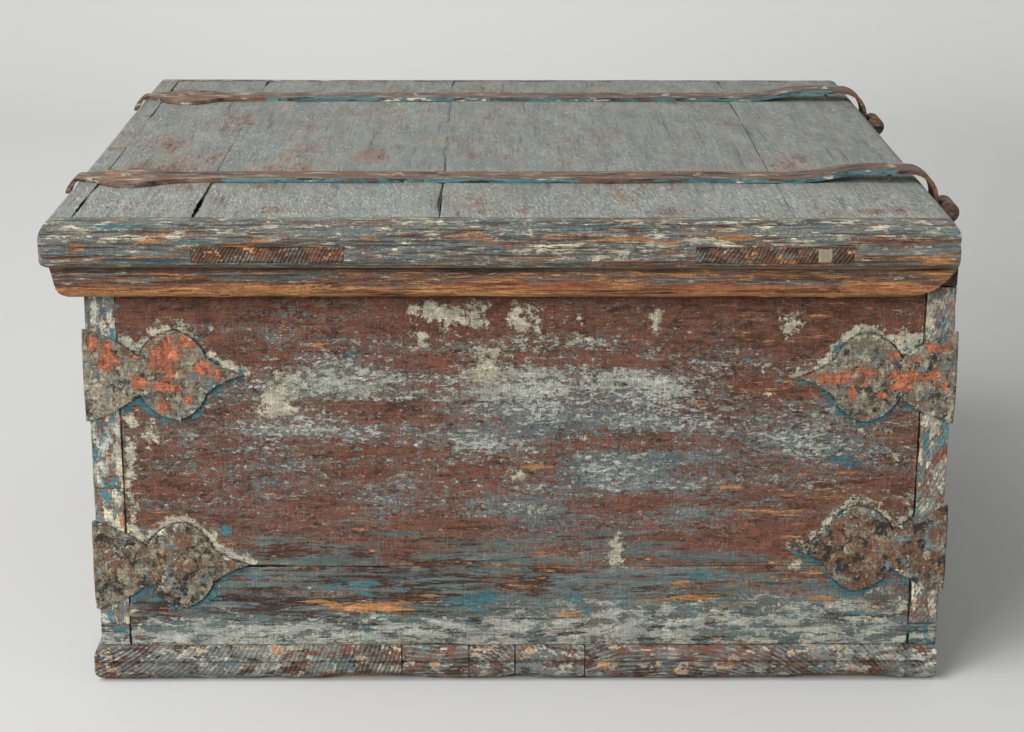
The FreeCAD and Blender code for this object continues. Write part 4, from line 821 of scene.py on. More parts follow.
class Worked:
    """A CAD node's mesh with rounded edges and a fine even grid, ready to be marked and moved."""

    def __init__(self, node, cells, chamfer, shortest=0.008, round_holes=False, shut=()):
        """Shut lists planes (axis, place) whose edges stay square, so that boards meet without a groove."""
        self.node = node
        low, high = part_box(node)
        bm = opened(node)
        bmesh.ops.dissolve_limit(bm, angle_limit=0.01, verts=bm.verts, edges=bm.edges)
        sharp = [e for e in bm.edges if len(e.link_faces) == 2 and e.calc_face_angle_signed(0) > 0.6
                 and (e.calc_length() > shortest or round_holes)]
        for axis, place in shut:
            sharp = [e for e in sharp if any(abs(v.co[axis] - place) > 1e-5 for v in e.verts)]
        self.rims = [(e.verts[0].co.copy(), e.verts[1].co.copy()) for e in sharp]
        if chamfer > 0 and sharp:
            bmesh.ops.bevel(bm, geom=sharp, offset=chamfer, segments=2, profile=0.5, affect="EDGES",
                            clamp_overlap=True)
        bmesh.ops.triangulate(bm, faces=bm.faces)
        tris = np.array([[v.co for v in f.verts] for f in bm.faces], float)
        bm.free()
        for axis, step in enumerate(cells):
            if step:
                planes = steps_between(low[axis], high[axis], step, chamfer + 0.0008)
                tris = slice_up(tris, axis, planes)
        self.mesh = welded("worn_" + node, tris)
        self.rest = read(self.mesh.vertices, "co")
        self.normals = read(self.mesh.vertices, "normal")
        for axis, place in shut:
            self.normals[np.abs(self.rest[:, axis] - place) < 1e-6, axis] = 0
        self.normals /= np.maximum(np.linalg.norm(self.normals, axis=1), 1e-9)[:, None]
        self.points = self.rest.copy()
        self.marks = {}

    def nearest(self, segments):
        """How far each point lies from the nearest of some segments, and how high above it."""
        samples = []
        for a, b in segments:
            count = max(1, int((b - a).length / 0.002))
            samples += [a.lerp(b, k / count) for k in range(count + 1)]
        if not samples:
            return np.full(len(self.rest), 0.05), np.zeros(len(self.rest))
        tree = KDTree(len(samples))
        for k, point in enumerate(samples):
            tree.insert(point, k)
        tree.balance()
        find = tree.find
        found = np.array([(hit[2], hit[0][2]) for hit in map(find, self.rest.tolist())])
        return found[:, 0], self.rest[:, 2] - found[:, 1]

    def mark(self, name, values):
        self.marks[name] = np.asarray(values, float)

    def mark_rims(self, width=RIM_WIDTH):
        """Marks how near each point lies to a sharp edge, and gives the distances."""
        gap = self.nearest(self.rims)[0]
        self.mark("rim", unit(1 - gap / width))
        return gap

    def push(self, amount):
        self.points += self.normals * np.asarray(amount)[:, None]

    def weather(self, warp, chip, seed, along):
        """Rounds off and wanders the faces, and chips the edges."""
        gap = self.mark_rims(0.007)
        stretch = [4 if axis == along else 1 for axis in range(3)]
        self.push(warp * (0.7 * field(self.rest, 0.030, seed, stretch)
                          + 0.4 * field(self.rest, 0.008, seed + 1, stretch)))
        bite = unit(field(self.rest, 0.012, seed + 2, stretch) - 0.25)
        bite += 1.2 * unit(field(self.rest, 0.05, seed + 3, stretch) - 0.55)
        self.push(-chip * unit(1 - gap / 0.005) ** 1.5 * bite * 1.6)

    def finish(self, materials, pick=None):
        """Makes the piece, gives it its materials and marks, and puts it in the node's place."""
        self.mesh.vertices.foreach_set("co", self.points.ravel())
        for name, values in self.marks.items():
            data = self.mesh.attributes.new(name, "FLOAT", "POINT").data
            data.foreach_set("value", values)
        for material in materials:
            self.mesh.materials.append(material)
        if pick is not None:
            faces = self.mesh.polygons
            index = pick(read(faces, "center"), read(faces, "normal")).astype(np.int32)
            faces.foreach_set("material_index", index)
        self.mesh.shade_smooth()
        self.mesh.set_sharp_from_angle(angle=SHARP)
        piece = put("worn_" + self.node, self.mesh)
        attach(piece, BODY_OF[self.node])
        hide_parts(self.node)


def iron_outlines():
    """The outlines of the corner irons where they lie on the boards, as segments."""
    segments = []
    for node in frame["nodes"]:
        if not node.startswith("corner_iron_") or node == "corner_iron_nails":
            continue
        bm = opened(node)
        for edge in bm.edges:
            if len(edge.link_faces) == 2 and edge.calc_face_angle(0) > 0.6 and edge.calc_length() > 0.0001:
                ends = [v.co for v in edge.verts]
                on_end = all(abs(abs(p.x) - PANEL_FACE) < 1e-5 for p in ends)
                on_side = all(abs(abs(p.y) - SIDE_FACE) < 1e-5 for p in ends)
                if on_end or on_side:
                    segments.append((ends[0].copy(), ends[1].copy()))
        bm.free()
    return segments


def inner_mark(points):
    """1 on the inside of the carcase and under the lid, 0 outside."""
    wall = 0.0176
    inside = (np.abs(points[:, 0]) < PANEL_FACE - wall) & (np.abs(points[:, 1]) < SIDE_FACE - wall)
    return (inside & (points[:, 2] < RIM + 0.002) & (points[:, 2] > FOOT - 0.002)).astype(float)


# Patches seen on the right-hand end: (place along Y, height, half width, half height, strength), in mm
CREAM = (
    (-144, 180, 11, 11.8, 1.3), (-141, 196, 6.6, 6.3, .8), (-223, 159, 4.9, 7.2, .9),
    (-234, 170, 3.6, 6.4, 1), (-235, 150, 3.5, 9.5, 1), (-236, 131, 3.2, 9.7, 1), (-235, 112, 3.3, 8.1, 1),
    (-235, 97, 4.3, 6.5, 1), (-57, 237, 8.8, 7.7, 1), (-62, 218, 8.9, 4.6, .8), (-93, 184, 4.3, 7.9, .5),
    (-184, 227, 1.5, 6.2, .5), (-212, 233, 4.3, 3.1, .6), (-45, 235, 13.3, 7.7, 1), (-27, 235, 7.4, 9.2, .9),
    (2, 233, 9, 10.8, 1), (35, 233, 3, 2.1, .7), (80, 232, 3.4, 8.5, 1.1), (160, 230, 7.7, 6.1, 1),
    (-20, 202, 13.4, 10.9, 1), (29, 221, 17.9, 2.4, .6), (34, 158, 9.1, 1.6, .6), (-2, 131, 6.1, 6.4, .6),
    (58, 84, 5.7, 11.5, .9), (10, 113, 10.7, 4.9, .4), (121, 151, 2.2, 2.2, .8), (150, 185, 9, 1.5, .6),
    (169, 76, 3.2, 4.9, .8), (232, 221, 7.8, 6.2, .7), (211, 161, 13.7, 3.2, .5), (224, 146, 8.4, 2.9, .6),
    (237, 118, 3.3, 3.2, .8), (170, 207, 4.6, 1.9, .6), (205, 68, 3, 7, .9), (222, 59, 9, 2.5, .8),
    (236, 50, 3.5, 8, .9), (194, 74, 3, 4, .8),
)
PALE = (
    (-102, 193, 34, 14, .8), (-118, 169, 45, 9.5, .4), (-154, 144, 27, 7.2, .7), (-82, 113, 12, 11.3, .6),
    (-68, 128, 9, 9.7, .4), (-146, 220, 8.8, 4.7, .3), (-9, 182, 39, 17.3, .8), (74, 193, 30, 9.4, .6),
    (-9, 157, 42, 9.5, .8), (60, 134, 34, 12.9, .7), (14, 113, 27.5, 9.8, .4), (106, 113, 17, 9.7, .7),
    (51, 169, 45, 9.5, .3), (123, 179, 30, 6.4, .2), (72, 150, 46, 12, .55), (180, 152, 30, 12, .5),
    (105, 122, 24, 9, .5), (120, 207, 40, 6, .35), (190, 176, 30, 8, .3),
)
BLUE = (
    (-106, 211, 11, 2.2, .9), (-149, 130, 1.8, 1.9, 1), (-56, 197, 3.3, 2.2, 1), (-139, 157, 1.7, 2.9, .9),
    (-98, 164, 2.1, 1.9, .8), (-70, 160, 10.5, 4, .4), (-180, 100, 2.6, 4.1, .9), (-103, 61, 20, 6.6, .9),
    (-245, 240, 8.6, 6.2, .8), (-166, 235, 2.3, 3.1, .6), (-129, 235, 2, 2.8, .6), (-140, 236, 2, 2.7, .6),
    (46, 159, 3.3, 2.5, 1.1), (123, 220, 6.8, 3.4, 1), (132, 208, 9, 1.8, .8), (154, 193, 4.1, 3.4, .9),
    (-25, 54, 20, 5.8, .8), (37, 49, 26.4, 5, .7), (115, 69, 20, 4.2, .6), (-19, 196, 2.1, 1.8, 1),
    (-27, 197, 1.8, 1.6, 1), (52, 212, 2.7, 1.9, .9), (-12, 91, 2.1, 1.9, .9), (-40, 74, 2.1, 1.3, .8),
    (196, 143, 9.4, 6.4, .7), (228, 138, 3.2, 4.9, .6),
)
OCHRE = (
    (-82, 48, 37, 2.4, 1), (-99, 102, 9, 4.9, .4), (-225, 144, 5.6, 9.6, .5), (-221, 105, 10.2, 9.7, .4),
    (-117, 215, 8.9, 2.3, .3), (-76, 172, 9, 1.3, .6), (40, 44, 20, 2.1, 1), (77, 52, 17, 1.3, 1),
    (97, 64, 8.5, 2.3, 1), (111, 54, 12.4, 1.4, 1), (149, 150, 12, 1.3, .7), (150, 141, 9.1, 1.3, .6),
    (126, 127, 10.6, 1.3, .7), (155, 108, 14, 4.8, .4), (-48, 47, 9.3, 1.3, .8), (18, 84, 9.2, 5, .4),
    (10, 141, 9.1, 8.1, .3), (171, 136, 6.2, 2.6, .9), (197, 123, 7.8, 4.2, .7), (137, 50, 10.9, 1.5, 1),
    (155, 108, 18.7, 9.7, .5), (215, 64, 6.7, 9.9, .5), (182, 54, 14, 2.7, .5),
)
CORAL = (
    (-246, 211, 4.1, 7, 1), (-254, 219, 3.1, 3.4, 1), (-212, 210, 7.1, 9.3, 1), (-199, 219, 6.5, 3.4, 1),
    (-189, 202, 4.6, 3.8, 1), (-227, 194, 5.5, 3.2, 1), (-212, 191, 5.9, 2.8, 1), (-215, 178, 1.9, 4.1, 1),
    (-199, 183, 2.2, 2.8, 1), (-230, 208, 2, 1.5, 1), (-180, 199, 1.7, 2.2, 1), (-209, 198, 2.9, 1.9, 1),
    (189, 196, 12.9, 3.5, 1), (203, 198, 5.6, 4.4, 1), (199, 186, 2.2, 2.8, 1), (226, 212, 5.4, 3.4, 1),
    (236, 208, 2.2, 1.6, 1), (248, 215, 6.3, 2.2, 1), (234, 197, 12.1, 3.2, 1), (228, 191, 4.9, 2.5, 1),
    (216, 186, 4, 1.9, 1), (212, 200, 1.9, 1.6, 1), (246, 198, 3.9, 2.2, 1), (254, 191, 1.3, 1.9, 1),
)


# Red-brown patches on the lid: (place along X, place along Y, half width, half length, strength), in mm
RED_ON_LID = (
    (95, -225, 30, 22, .9), (60, -200, 25, 16, .7), (100, -150, 28, 14, .9), (40, -140, 18, 12, .6),
    (140, -160, 10, 10, .8), (60, -95, 22, 10, .7), (205, -225, 12, 16, .5), (212, -150, 10, 12, .6),
    (216, 90, 9, 14, .7), (20, -235, 30, 14, .6), (-60, -200, 30, 14, .5), (-20, 60, 30, 12, .3),
    (217, 215, 8, 20, .6),
)

# Bare and coral places on the cleats: (place along Y, height, half width, half height, strength), in mm
BARE_ON_CLEAT = (
    (-213, 285, 12, 1.3, 1), (-163, 281, 9, 3, 1.1), (-135, 281, 26, 1.4, .9), (-155, 286, 9, 1.6, .8),
    (60, 286, 26, 1.4, 1), (120, 287, 13, 1.6, 1), (-30, 286, 18, 1.2, .9), (20, 288, 10, 1.5, .8),
    (-258, 281, 5, 4, .9), (-262, 272, 4, 4, .9), (240, 275, 18, 4, .5), (190, 275, 22, 3, .5),
)
CORAL_ON_CLEAT = ((70, 272, 40, .9, .9), (160, 271, 30, .8, .7))
# Coral left on the straps' tongues, from the strap's middle
CORAL_ON_STRAP = ((4, -250, 9, 5, 1), (-8, -248, 8, 10, .6))


def scattered(seed, count, width, low, high, sizes):
    """Chance patches for the sides that the photograph doesn't show."""
    rng = np.random.default_rng(seed)
    return [(rng.uniform(-width, width), rng.uniform(low, high), rng.uniform(*sizes) * 1.6,
             rng.uniform(*sizes), rng.uniform(0.6, 1.1)) for _ in range(count)]


class CHEST_OT_carcase(bpy.types.Operator):
    """Dress the carcase boards in layered, scraped paint"""
    bl_idname = "chest.carcase"
    bl_label = "Carcase boards"

    def execute(self, context):
        wear = context.scene.chest_wear
        end_paint, side_paint = panel_paint("scraped_end_paint", 1), panel_paint("scraped_side_paint", 0)
        corner = corner_end_paint("corner_end_paint")
        outlines = iron_outlines()
        for end in ("right", "left"):
            for part in ("upper", "lower"):
                node = f"end_board_{end}_{part}"
                cells = (0.009, 0.0030, 0.0026) if end == "right" else (0.018, 0.009, 0.008)
                piece = Worked(node, cells, wear.chamfer, shut=((2, END_SEAM),))
                piece.weather(wear.warp, wear.chip, wear.seed + len(end), 1)
                places = piece.rest[:, 1:3] if end == "right" else piece.rest[:, 1:3] * (-1, 1)
                for mark, blobs in (("cream", CREAM), ("pale", PALE), ("blue", BLUE), ("ochre", OCHRE)):
                    piece.mark(mark, spread(places, blobs))
                piece.mark("brown", unit((places[:, 0] - 0.04) / 0.12))
                self.common(piece, outlines)
                piece.finish([end_paint])
        for side in ("front", "back"):
            for part in ("upper", "lower"):
                node = f"{side}_board_{part}"
                piece = Worked(node, (0.008, 0.0045, 0.007), wear.chamfer)
                piece.weather(wear.warp, wear.chip, wear.seed + 3 * len(node), 0)
                places, seed = piece.rest[:, [0, 2]], wear.seed + len(side)
                piece.mark("cream", spread(places, scattered(seed, 16, 215, 60, 250, (4, 11))))
                piece.mark("pale", spread(places, scattered(seed + 1, 12, 200, 90, 220, (9, 22))))
                piece.mark("blue", spread(places, scattered(seed + 2, 24, 215, 35, 245, (2, 5))))
                piece.mark("ochre", spread(places, scattered(seed + 3, 18, 200, 40, 150, (1.5, 5))))
                self.common(piece, outlines)
                piece.finish([side_paint, corner],
                             lambda centres, facing: np.abs(facing[:, 0]) > 0.8)
        return {"FINISHED"}

    def common(self, piece, outlines):
        gap, above = piece.nearest(outlines)
        piece.mark("lip", gap)
        piece.mark("over", above / np.maximum(gap, 1e-5))
        piece.mark("inner", inner_mark(piece.rest))
        near_post = np.abs(np.abs(piece.rest[:, 1]) - SIDE_FACE + 0.009) < 0.010
        piece.mark("corner", near_post & (np.abs(piece.rest[:, 0]) > PANEL_FACE - 0.001))


class CHEST_OT_bottom(bpy.types.Operator):
    """Dress the bottom boards, with chips along their lower edge"""
    bl_idname = "chest.bottom"
    bl_label = "Bottom boards"

    def execute(self, context):
        wear = context.scene.chest_wear
        long_face = streaked_paint("base_side_paint", 0, context.scene.chest_paints.maroon, 0.50, 0.10, 0.12)
        amounts = {"maroon": 0.50, "slate": 0.50, "lid_blue": 0.40, "chalk": 0.20, "cream": 0.12,
                   "teal": 0.04, "bare": 0.05}
        centres = ((0.22, -0.30, 0.10), (0.22, -0.05, 0.16), (0.22, -0.06, -0.06), (0.22, 0.10, 0.10),
                   (0.22, 0.09, -0.12))
        for number, centre in enumerate(centres, start=1):
            node = f"bottom_board_{number}"
            ends = end_grain_paint(f"base_end_{number}", centre, 380.0, amounts)
            piece = Worked(node, (0.007, 0.005, CELL), wear.chamfer * 0.6)
            piece.weather(wear.warp, wear.chip, wear.seed + 20 + number, 0)
            low = unit(1 - piece.rest[:, 2] / 0.010) * (np.abs(piece.rest[:, 0]) > PANEL_FACE - 0.004)
            bite = unit(field(piece.rest, 0.022, wear.seed + 31, (9, 1, 1)) - 0.15)
            piece.points[:, 2] += low * bite * 0.0035
            piece.mark("inner", (np.abs(piece.rest[:, 0]) < PANEL_FACE - 0.003) & (piece.rest[:, 2] < 0.002)
                       | (inner_mark(piece.rest) > 0))
            piece.finish([long_face, ends],
                         lambda centres, facing: np.abs(centres[:, 0]) > PANEL_FACE - 0.002)
        return {"FINISHED"}


class CHEST_OT_lid(bpy.types.Operator):
    """Dress the lid's boards and front rail, and open their cracks"""
    bl_idname = "chest.lid"
    bl_label = "Lid boards"

    def execute(self, context):
        wear = context.scene.chest_wear
        top = lid_paint("chalky_lid_paint", 0)
        amounts = {"maroon": 0.30, "slate": 0.32, "lid_blue": 0.18, "chalk": 0.09, "cream": 0.10,
                   "teal": 0.07, "bare": 0.12}
        tenon = end_grain_paint("tenon_end_paint", (0.246, 1.4, -0.55), 480.0, amounts)
        for node in ("lid_front_rail", "lid_board_1", "lid_board_2", "lid_board_3", "lid_board_4"):
            low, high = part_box(node)
            piece = Worked(node, (0.006, 0.0032, 0.007), wear.chamfer * 0.2)
            seed = wear.seed + 40 + int(node[-1]) if node[-1].isdigit() else wear.seed + 40
            piece.weather(wear.warp, wear.chip, seed, 0)
            self.open_seams(piece, node, low, high)
            over_box = np.abs(piece.rest[:, 0]) < PANEL_FACE + 0.010
            piece.mark("inner", (piece.rest[:, 2] < RIM + 0.002) & over_box)
            red = spread(piece.rest, RED_ON_LID)
            piece.mark("red", unit(red + 0.6 * unit(field(piece.rest, 0.03, wear.seed + 50) - 0.3)))
            piece.finish([top, tenon],
                         lambda centres, facing: np.abs(centres[:, 0]) > CLEAT_INNER + 0.004)
        return {"FINISHED"}

    def open_seams(self, piece, node, low, high):
        """Closes the joints between boards to a hairline, and lets two of them gape near the end."""
        gape = {"lid_front_rail": (0, 1.0), "lid_board_1": (1.0, 1.3), "lid_board_2": (1.3, 0.25),
                "lid_board_3": (0.25, 0.1), "lid_board_4": (0.1, 0)}
        x, ragged = piece.rest[:, 0], 0.75 + 0.5 * field(piece.rest, 0.005, 91, (1, 99, 99))
        wide = 0.55 + 0.45 * field(piece.rest, 0.030, 92, (1, 99, 99))
        near = unit((x - (CLEAT_INNER - 0.052)) / 0.012) + 0.35 * unit((x - 0.05) / 0.05)
        for edge, amount, sign in ((low.y, gape[node][0], 1), (high.y, gape[node][1], -1)):
            gap = np.abs(piece.rest[:, 1] - edge)
            shift = 0.0014 * amount * near * ragged * wide - 0.00040 * (amount > 0)
            piece.points[:, 1] += sign * shift * unit(1 - gap / 0.004)
        piece.mark("gap", (np.abs(piece.normals[:, 1]) > 0.8) & (piece.rest[:, 1] > LID_FRONT + 0.01)
                   & (piece.rest[:, 1] < LID_BACK - 0.01))


class CHEST_OT_mouldings(bpy.types.Operator):
    """Dress the end cleats and the moulding under the lid"""
    bl_idname = "chest.mouldings"
    bl_label = "Cleats and mouldings"

    def execute(self, context):
        wear, paints = context.scene.chest_wear, context.scene.chest_paints
        cleat = streaked_paint("streaked_cleat_paint", 1, paints.maroon, 0.56, 0.05, 0.10)
        # Heights of the band of painted shade at the top of the moulding, under the lid.
        painted_shade_band = (RIM - 0.0055, RIM - 0.0005)
        skirt = (paints.maroon, 0.30, 0.22, 0.24, painted_shade_band)
        skirt_side = streaked_paint("streaked_skirt_paint", 1, *skirt)
        skirt_front = streaked_paint("streaked_front_skirt_paint", 0, *skirt)
        for end, sign in (("right", 1), ("left", -1)):
            piece = Worked(f"lid_cleat_{end}", (CELL, 0.005, CELL), wear.chamfer)
            piece.weather(wear.warp * 0.8, wear.chip, wear.seed + 60 + sign, 1)
            ridge = field(piece.rest, 0.0022, wear.seed + 61, (1, 30, 1))
            outer = unit((piece.rest[:, 0] * sign - LID_END + 0.008) / 0.004)
            piece.push(0.00022 * ridge * outer)
            places = piece.rest[:, 1:3] * (sign, 1)
            piece.mark("ochre", spread(places, BARE_ON_CLEAT))
            piece.mark("coral", spread(places, CORAL_ON_CLEAT))
            piece.mark("inner", piece.rest[:, 2] < RIM + 0.0005)
            piece.finish([cleat])
        for name, material, along in (("front", skirt_front, 0), ("right", skirt_side, 1),
                                      ("left", skirt_side, 1)):
            node = f"lid_skirt_{name}"
            cells = (0.005, CELL, CELL) if along == 0 else (CELL, 0.005, CELL)
            piece = Worked(node, cells, wear.chamfer)
            piece.weather(wear.warp, wear.chip * 0.9, wear.seed + 70 + len(name), along)
            self.knots(piece, along)
            piece.mark("coral", 1.3 * unit(1 - np.abs(piece.rest[:, 2] - (RIM - 0.0125)) / 0.003))
            piece.mark("ochre", unit((RIM - 0.0105 - piece.rest[:, 2]) / 0.003) * 1.05)
            piece.mark("inner", piece.rest[:, 2] > RIM - 0.0003)
            piece.finish([material])
        return {"FINISHED"}

    def knots(self, piece, along):
        """Dished nail scars on the moulding's face."""
        for place in (-0.1762, -0.1279, 0.1457, 0.1837):
            gap = np.hypot(piece.rest[:, along] - place, piece.rest[:, 2] - (RIM - 0.014))
            piece.push(-0.0011 * unit(1 - gap / 0.0045) + 0.0006 * unit(1 - np.abs(gap - 0.006) / 0.002))


class CHEST_OT_corner_irons(bpy.types.Operator):
    """Dress the eight corner irons in scaly paint, with coral on the upper ones"""
    bl_idname = "chest.corner_irons"
    bl_label = "Corner irons"

    def execute(self, context):
        wear = context.scene.chest_wear
        upper = corner_iron_scale("upper_iron_scale", 0.12, 1.0)
        lower = corner_iron_scale("lower_iron_scale", 0.50, 0.0)
        brown = corner_iron_scale("brown_iron_scale", 0.85, 0.0)
        for node in sorted(frame["nodes"]):
            if not node.startswith("corner_iron_") or node == "corner_iron_nails":
                continue
            piece = Worked(node, (0.0024, 0.0024, 0.0024), 0.0005, shortest=0.0005, round_holes=True)
            gap = piece.mark_rims()
            seed = wear.seed + sum(map(ord, node))
            outward = np.maximum(np.abs(piece.rest[:, 0]) - PANEL_FACE, np.abs(piece.rest[:, 1]) - SIDE_FACE)
            free = outward > 0.0008
            beaten = field(piece.rest, 0.012, seed) + 0.6 * field(piece.rest, 0.005, seed + 1)
            piece.push(wear.hammer * free * beaten)
            piece.push(0.0005 * free * unit(gap / 0.012))
            edge = np.abs(piece.normals[:, 0]) + np.abs(piece.normals[:, 1])
            # Marks the down-facing edges of the irons, which take painted shade.
            piece.mark("foot", unit(1.2 - edge) * (piece.normals[:, 2] < 0) * free)
            on_end = np.abs(piece.rest[:, 0]) > PANEL_FACE - 1e-5
            flip = 1 if "right" in node else -1
            wider = [(across, up, wide * 1.3, high * 1.25, strength * 0.95)
                     for across, up, wide, high, strength in CORAL]
            ends = spread(piece.rest[:, 1:3] * (flip, 1), wider)
            sides = spread(piece.rest[:, [0, 2]], scattered(seed, 6, 225, 175, 220, (3, 7)))
            piece.mark("coral", np.where(on_end, ends, sides))
            skin = upper if "upper" in node else brown if "_back_" in node else lower
            piece.finish([skin])
        return {"FINISHED"}


def chained(segments):
    """Joins loose segments end to end into runs of points."""
    ends = {}
    for a, b in segments:
        for one, other in ((a, b), (b, a)):
            ends.setdefault(tuple(round(c, 6) for c in one), []).append(tuple(round(c, 6) for c in other))
    runs, starts = [], sorted(ends, key=lambda key: (len(ends[key]) != 1, key))
    for start in starts:
        while ends[start]:
            run, here = [start], start
            while ends[here]:
                there = ends[here].pop()
                ends[there].remove(here)
                run.append(there)
                here = there
            runs.append(np.array(run))
    return runs


def paced(run, step):
    """The run again, with its points a set step apart."""
    lengths = np.concatenate([[0], np.cumsum(np.linalg.norm(np.diff(run, axis=0), axis=1))])
    places = np.linspace(0, lengths[-1], max(4, int(lengths[-1] / step)))
    return np.stack([np.interp(places, lengths, run[:, k]) for k in range(3)], axis=1)


class CHEST_OT_ridges(bpy.types.Operator):
    """Lay ridges of old paint against the edges of the corner irons"""
    bl_idname = "chest.ridges"
    bl_label = "Paint ridges"

    def execute(self, context):
        wear = context.scene.chest_wear
        points, faces, over = [], [], []
        for run in chained(iron_outlines()):
            on_end = np.ptp(run[:, 0]) < 1e-5
            flat, out = (1, 0) if on_end else (0, 1)
            if np.ptp(run[:, flat]) < 0.030 or np.ptp(run[:, out]) > 1e-5:
                continue
            line = paced(run, 0.0013)
            face = np.zeros(3)
            face[out] = np.sign(line[0, out])
            ahead = np.gradient(line, axis=0)
            ahead /= np.maximum(np.linalg.norm(ahead, axis=1), 1e-9)[:, None]
            across, up = line[:, flat], line[:, 2]
            turn = np.sum(across * np.roll(up, -1) - up * np.roll(across, -1))
            away = np.cross(ahead, face) * (np.sign(turn) * (1 if on_end else -1) * face[out])
            away /= np.maximum(np.linalg.norm(away, axis=1), 1e-9)[:, None]
            self.sweep(line, away, face, wear.seed, points, faces, over)
        mesh = bpy.data.meshes.new("paint_ridges")
        mesh.from_pydata(points, [], faces)
        mesh.attributes.new("over", "FLOAT", "POINT").data.foreach_set("value", over)
        mesh.materials.append(self.material())
        mesh.shade_smooth()
        piece = put("paint_ridges", mesh)
        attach(piece, "carcase")
        return {"FINISHED"}

    def sweep(self, line, away, face, seed, points, faces, over):
        """A low uneven bead beside the line, tight against the iron above it and clear of it below."""
        above = np.clip(away[:, 2] * 1.4 + 0.2, -1, 1)
        swell = 0.5 + 0.5 * field(line, 0.007, seed + 5)
        thin = unit(1.6 * (0.62 + 0.5 * field(line, 0.016, seed + 6)))
        fade = unit(np.minimum(np.arange(len(line)), np.arange(len(line))[::-1]) / 6)
        high = 0.0019 * (0.35 + 0.65 * swell) * thin * fade * np.where(above > 0, 1, 0.55)
        wide = 0.0012 + 0.0022 * (0.5 + 0.5 * field(line, 0.005, seed + 7)) * thin
        start = np.where(above > 0, -0.0003, 0.0008)
        first = len(points)
        ring = ((0, -1), (0, 0.72), (0.22, 1.0), (0.5, 0.8), (0.8, 0.35), (1.05, 0.04), (1.05, -1))
        for k in range(len(line)):
            for reach, lift in ring:
                rise = -0.0004 if lift < 0 else lift * high[k] - 0.00005
                points.append(line[k] + away[k] * (start[k] + reach * wide[k]) + face * rise)
                over.append(above[k])
        count = len(ring)
        flip = np.dot(np.cross(line[1] - line[0], away[0]), face) < 0
        for k in range(len(line) - 1):
            for j in range(count):
                a, b = first + k * count + j, first + k * count + (j + 1) % count
                quad = (a, b, b + count, a + count)
                faces.append(quad[::-1] if flip else quad)
        last = first + (len(line) - 1) * count
        cap, end = tuple(range(first, first + count)), tuple(range(last, last + count))
        faces += [cap, end[::-1]] if flip else [cap[::-1], end]

    def material(self):
        sh = Skin("ridge_paint")
        paints, place = sh.paints, sh.place
        over = sh.shift(sh.mark("over"), -0.3, 0.3)
        sh.colour = sh.blend(over, paints.teal, paints.cream)
        sh.coat(place, paints.teal, sh.patchy(place, 60.0, 0.20, 1.4), 210.0, 0.01, 0.74, 0.2)
        cover = sh.patchy(place, 70.0, sh.shift(over, 0.0, 1.0, 0.45, 0.22), 1.0, (4, 4, 0))
        sh.coat(place, paints.chalk, cover, 260.0, 0.01, 0.78, 0.3)
        cover = sh.patchy(place, 60.0, sh.shift(over, 0.0, 1.0, 0.42, 0.16), 1.2)
        sh.coat(place, paints.maroon, cover, 260.0, 0.01, 0.78, -0.3)
        sh.scratch(0.6)
        return sh.done(0.75, 0.0008)


class CHEST_OT_straps(bpy.types.Operator):
    """Dress the two lid straps, the hinge leaves and the pins"""
    bl_idname = "chest.straps"
    bl_label = "Straps and hinges"

    def execute(self, context):
        wear = context.scene.chest_wear
        rust = strap_rust("strap_rust")
        for end in ("right", "left"):
            node = f"strap_{end}"
            piece = Worked(node, (0.003, 0.004, 0.004), 0.0005, shortest=0.002)
            piece.mark_rims()
            centre = (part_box(node)[0].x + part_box(node)[1].x) / 2
            along = piece.rest[:, 1]
            painted = (along > LID_FRONT + 0.095) & (along < LID_BACK - 0.02)
            piece.mark("flank", (np.abs(piece.normals[:, 0]) > 0.75) & painted)
            top = piece.rest[:, 2] > LID_TOP
            beaten = field(piece.rest, 0.014, wear.seed + 80) + 0.5 * field(piece.rest, 0.005, 81)
            piece.push(wear.hammer * beaten)
            wave = 0.0009 * field(piece.rest * (0, 1, 0), 0.035, wear.seed + 82)
            body = unit((along - LID_FRONT - 0.03) / 0.03) * unit((LID_BACK - 0.03 - along) / 0.03)
            piece.points[:, 0] += wave * body
            piece.mark("coral", spread(piece.rest - (centre, 0, 0), CORAL_ON_STRAP) * top)
            piece.finish([rust])
            for part in (f"hinge_leaf_{end}", f"hinge_pin_{end}"):
                leaf = Worked(part, (0.003, 0.003, 0.003), 0.0004, shortest=0.002)
                leaf.mark_rims()
                leaf.finish([rust])
        return {"FINISHED"}


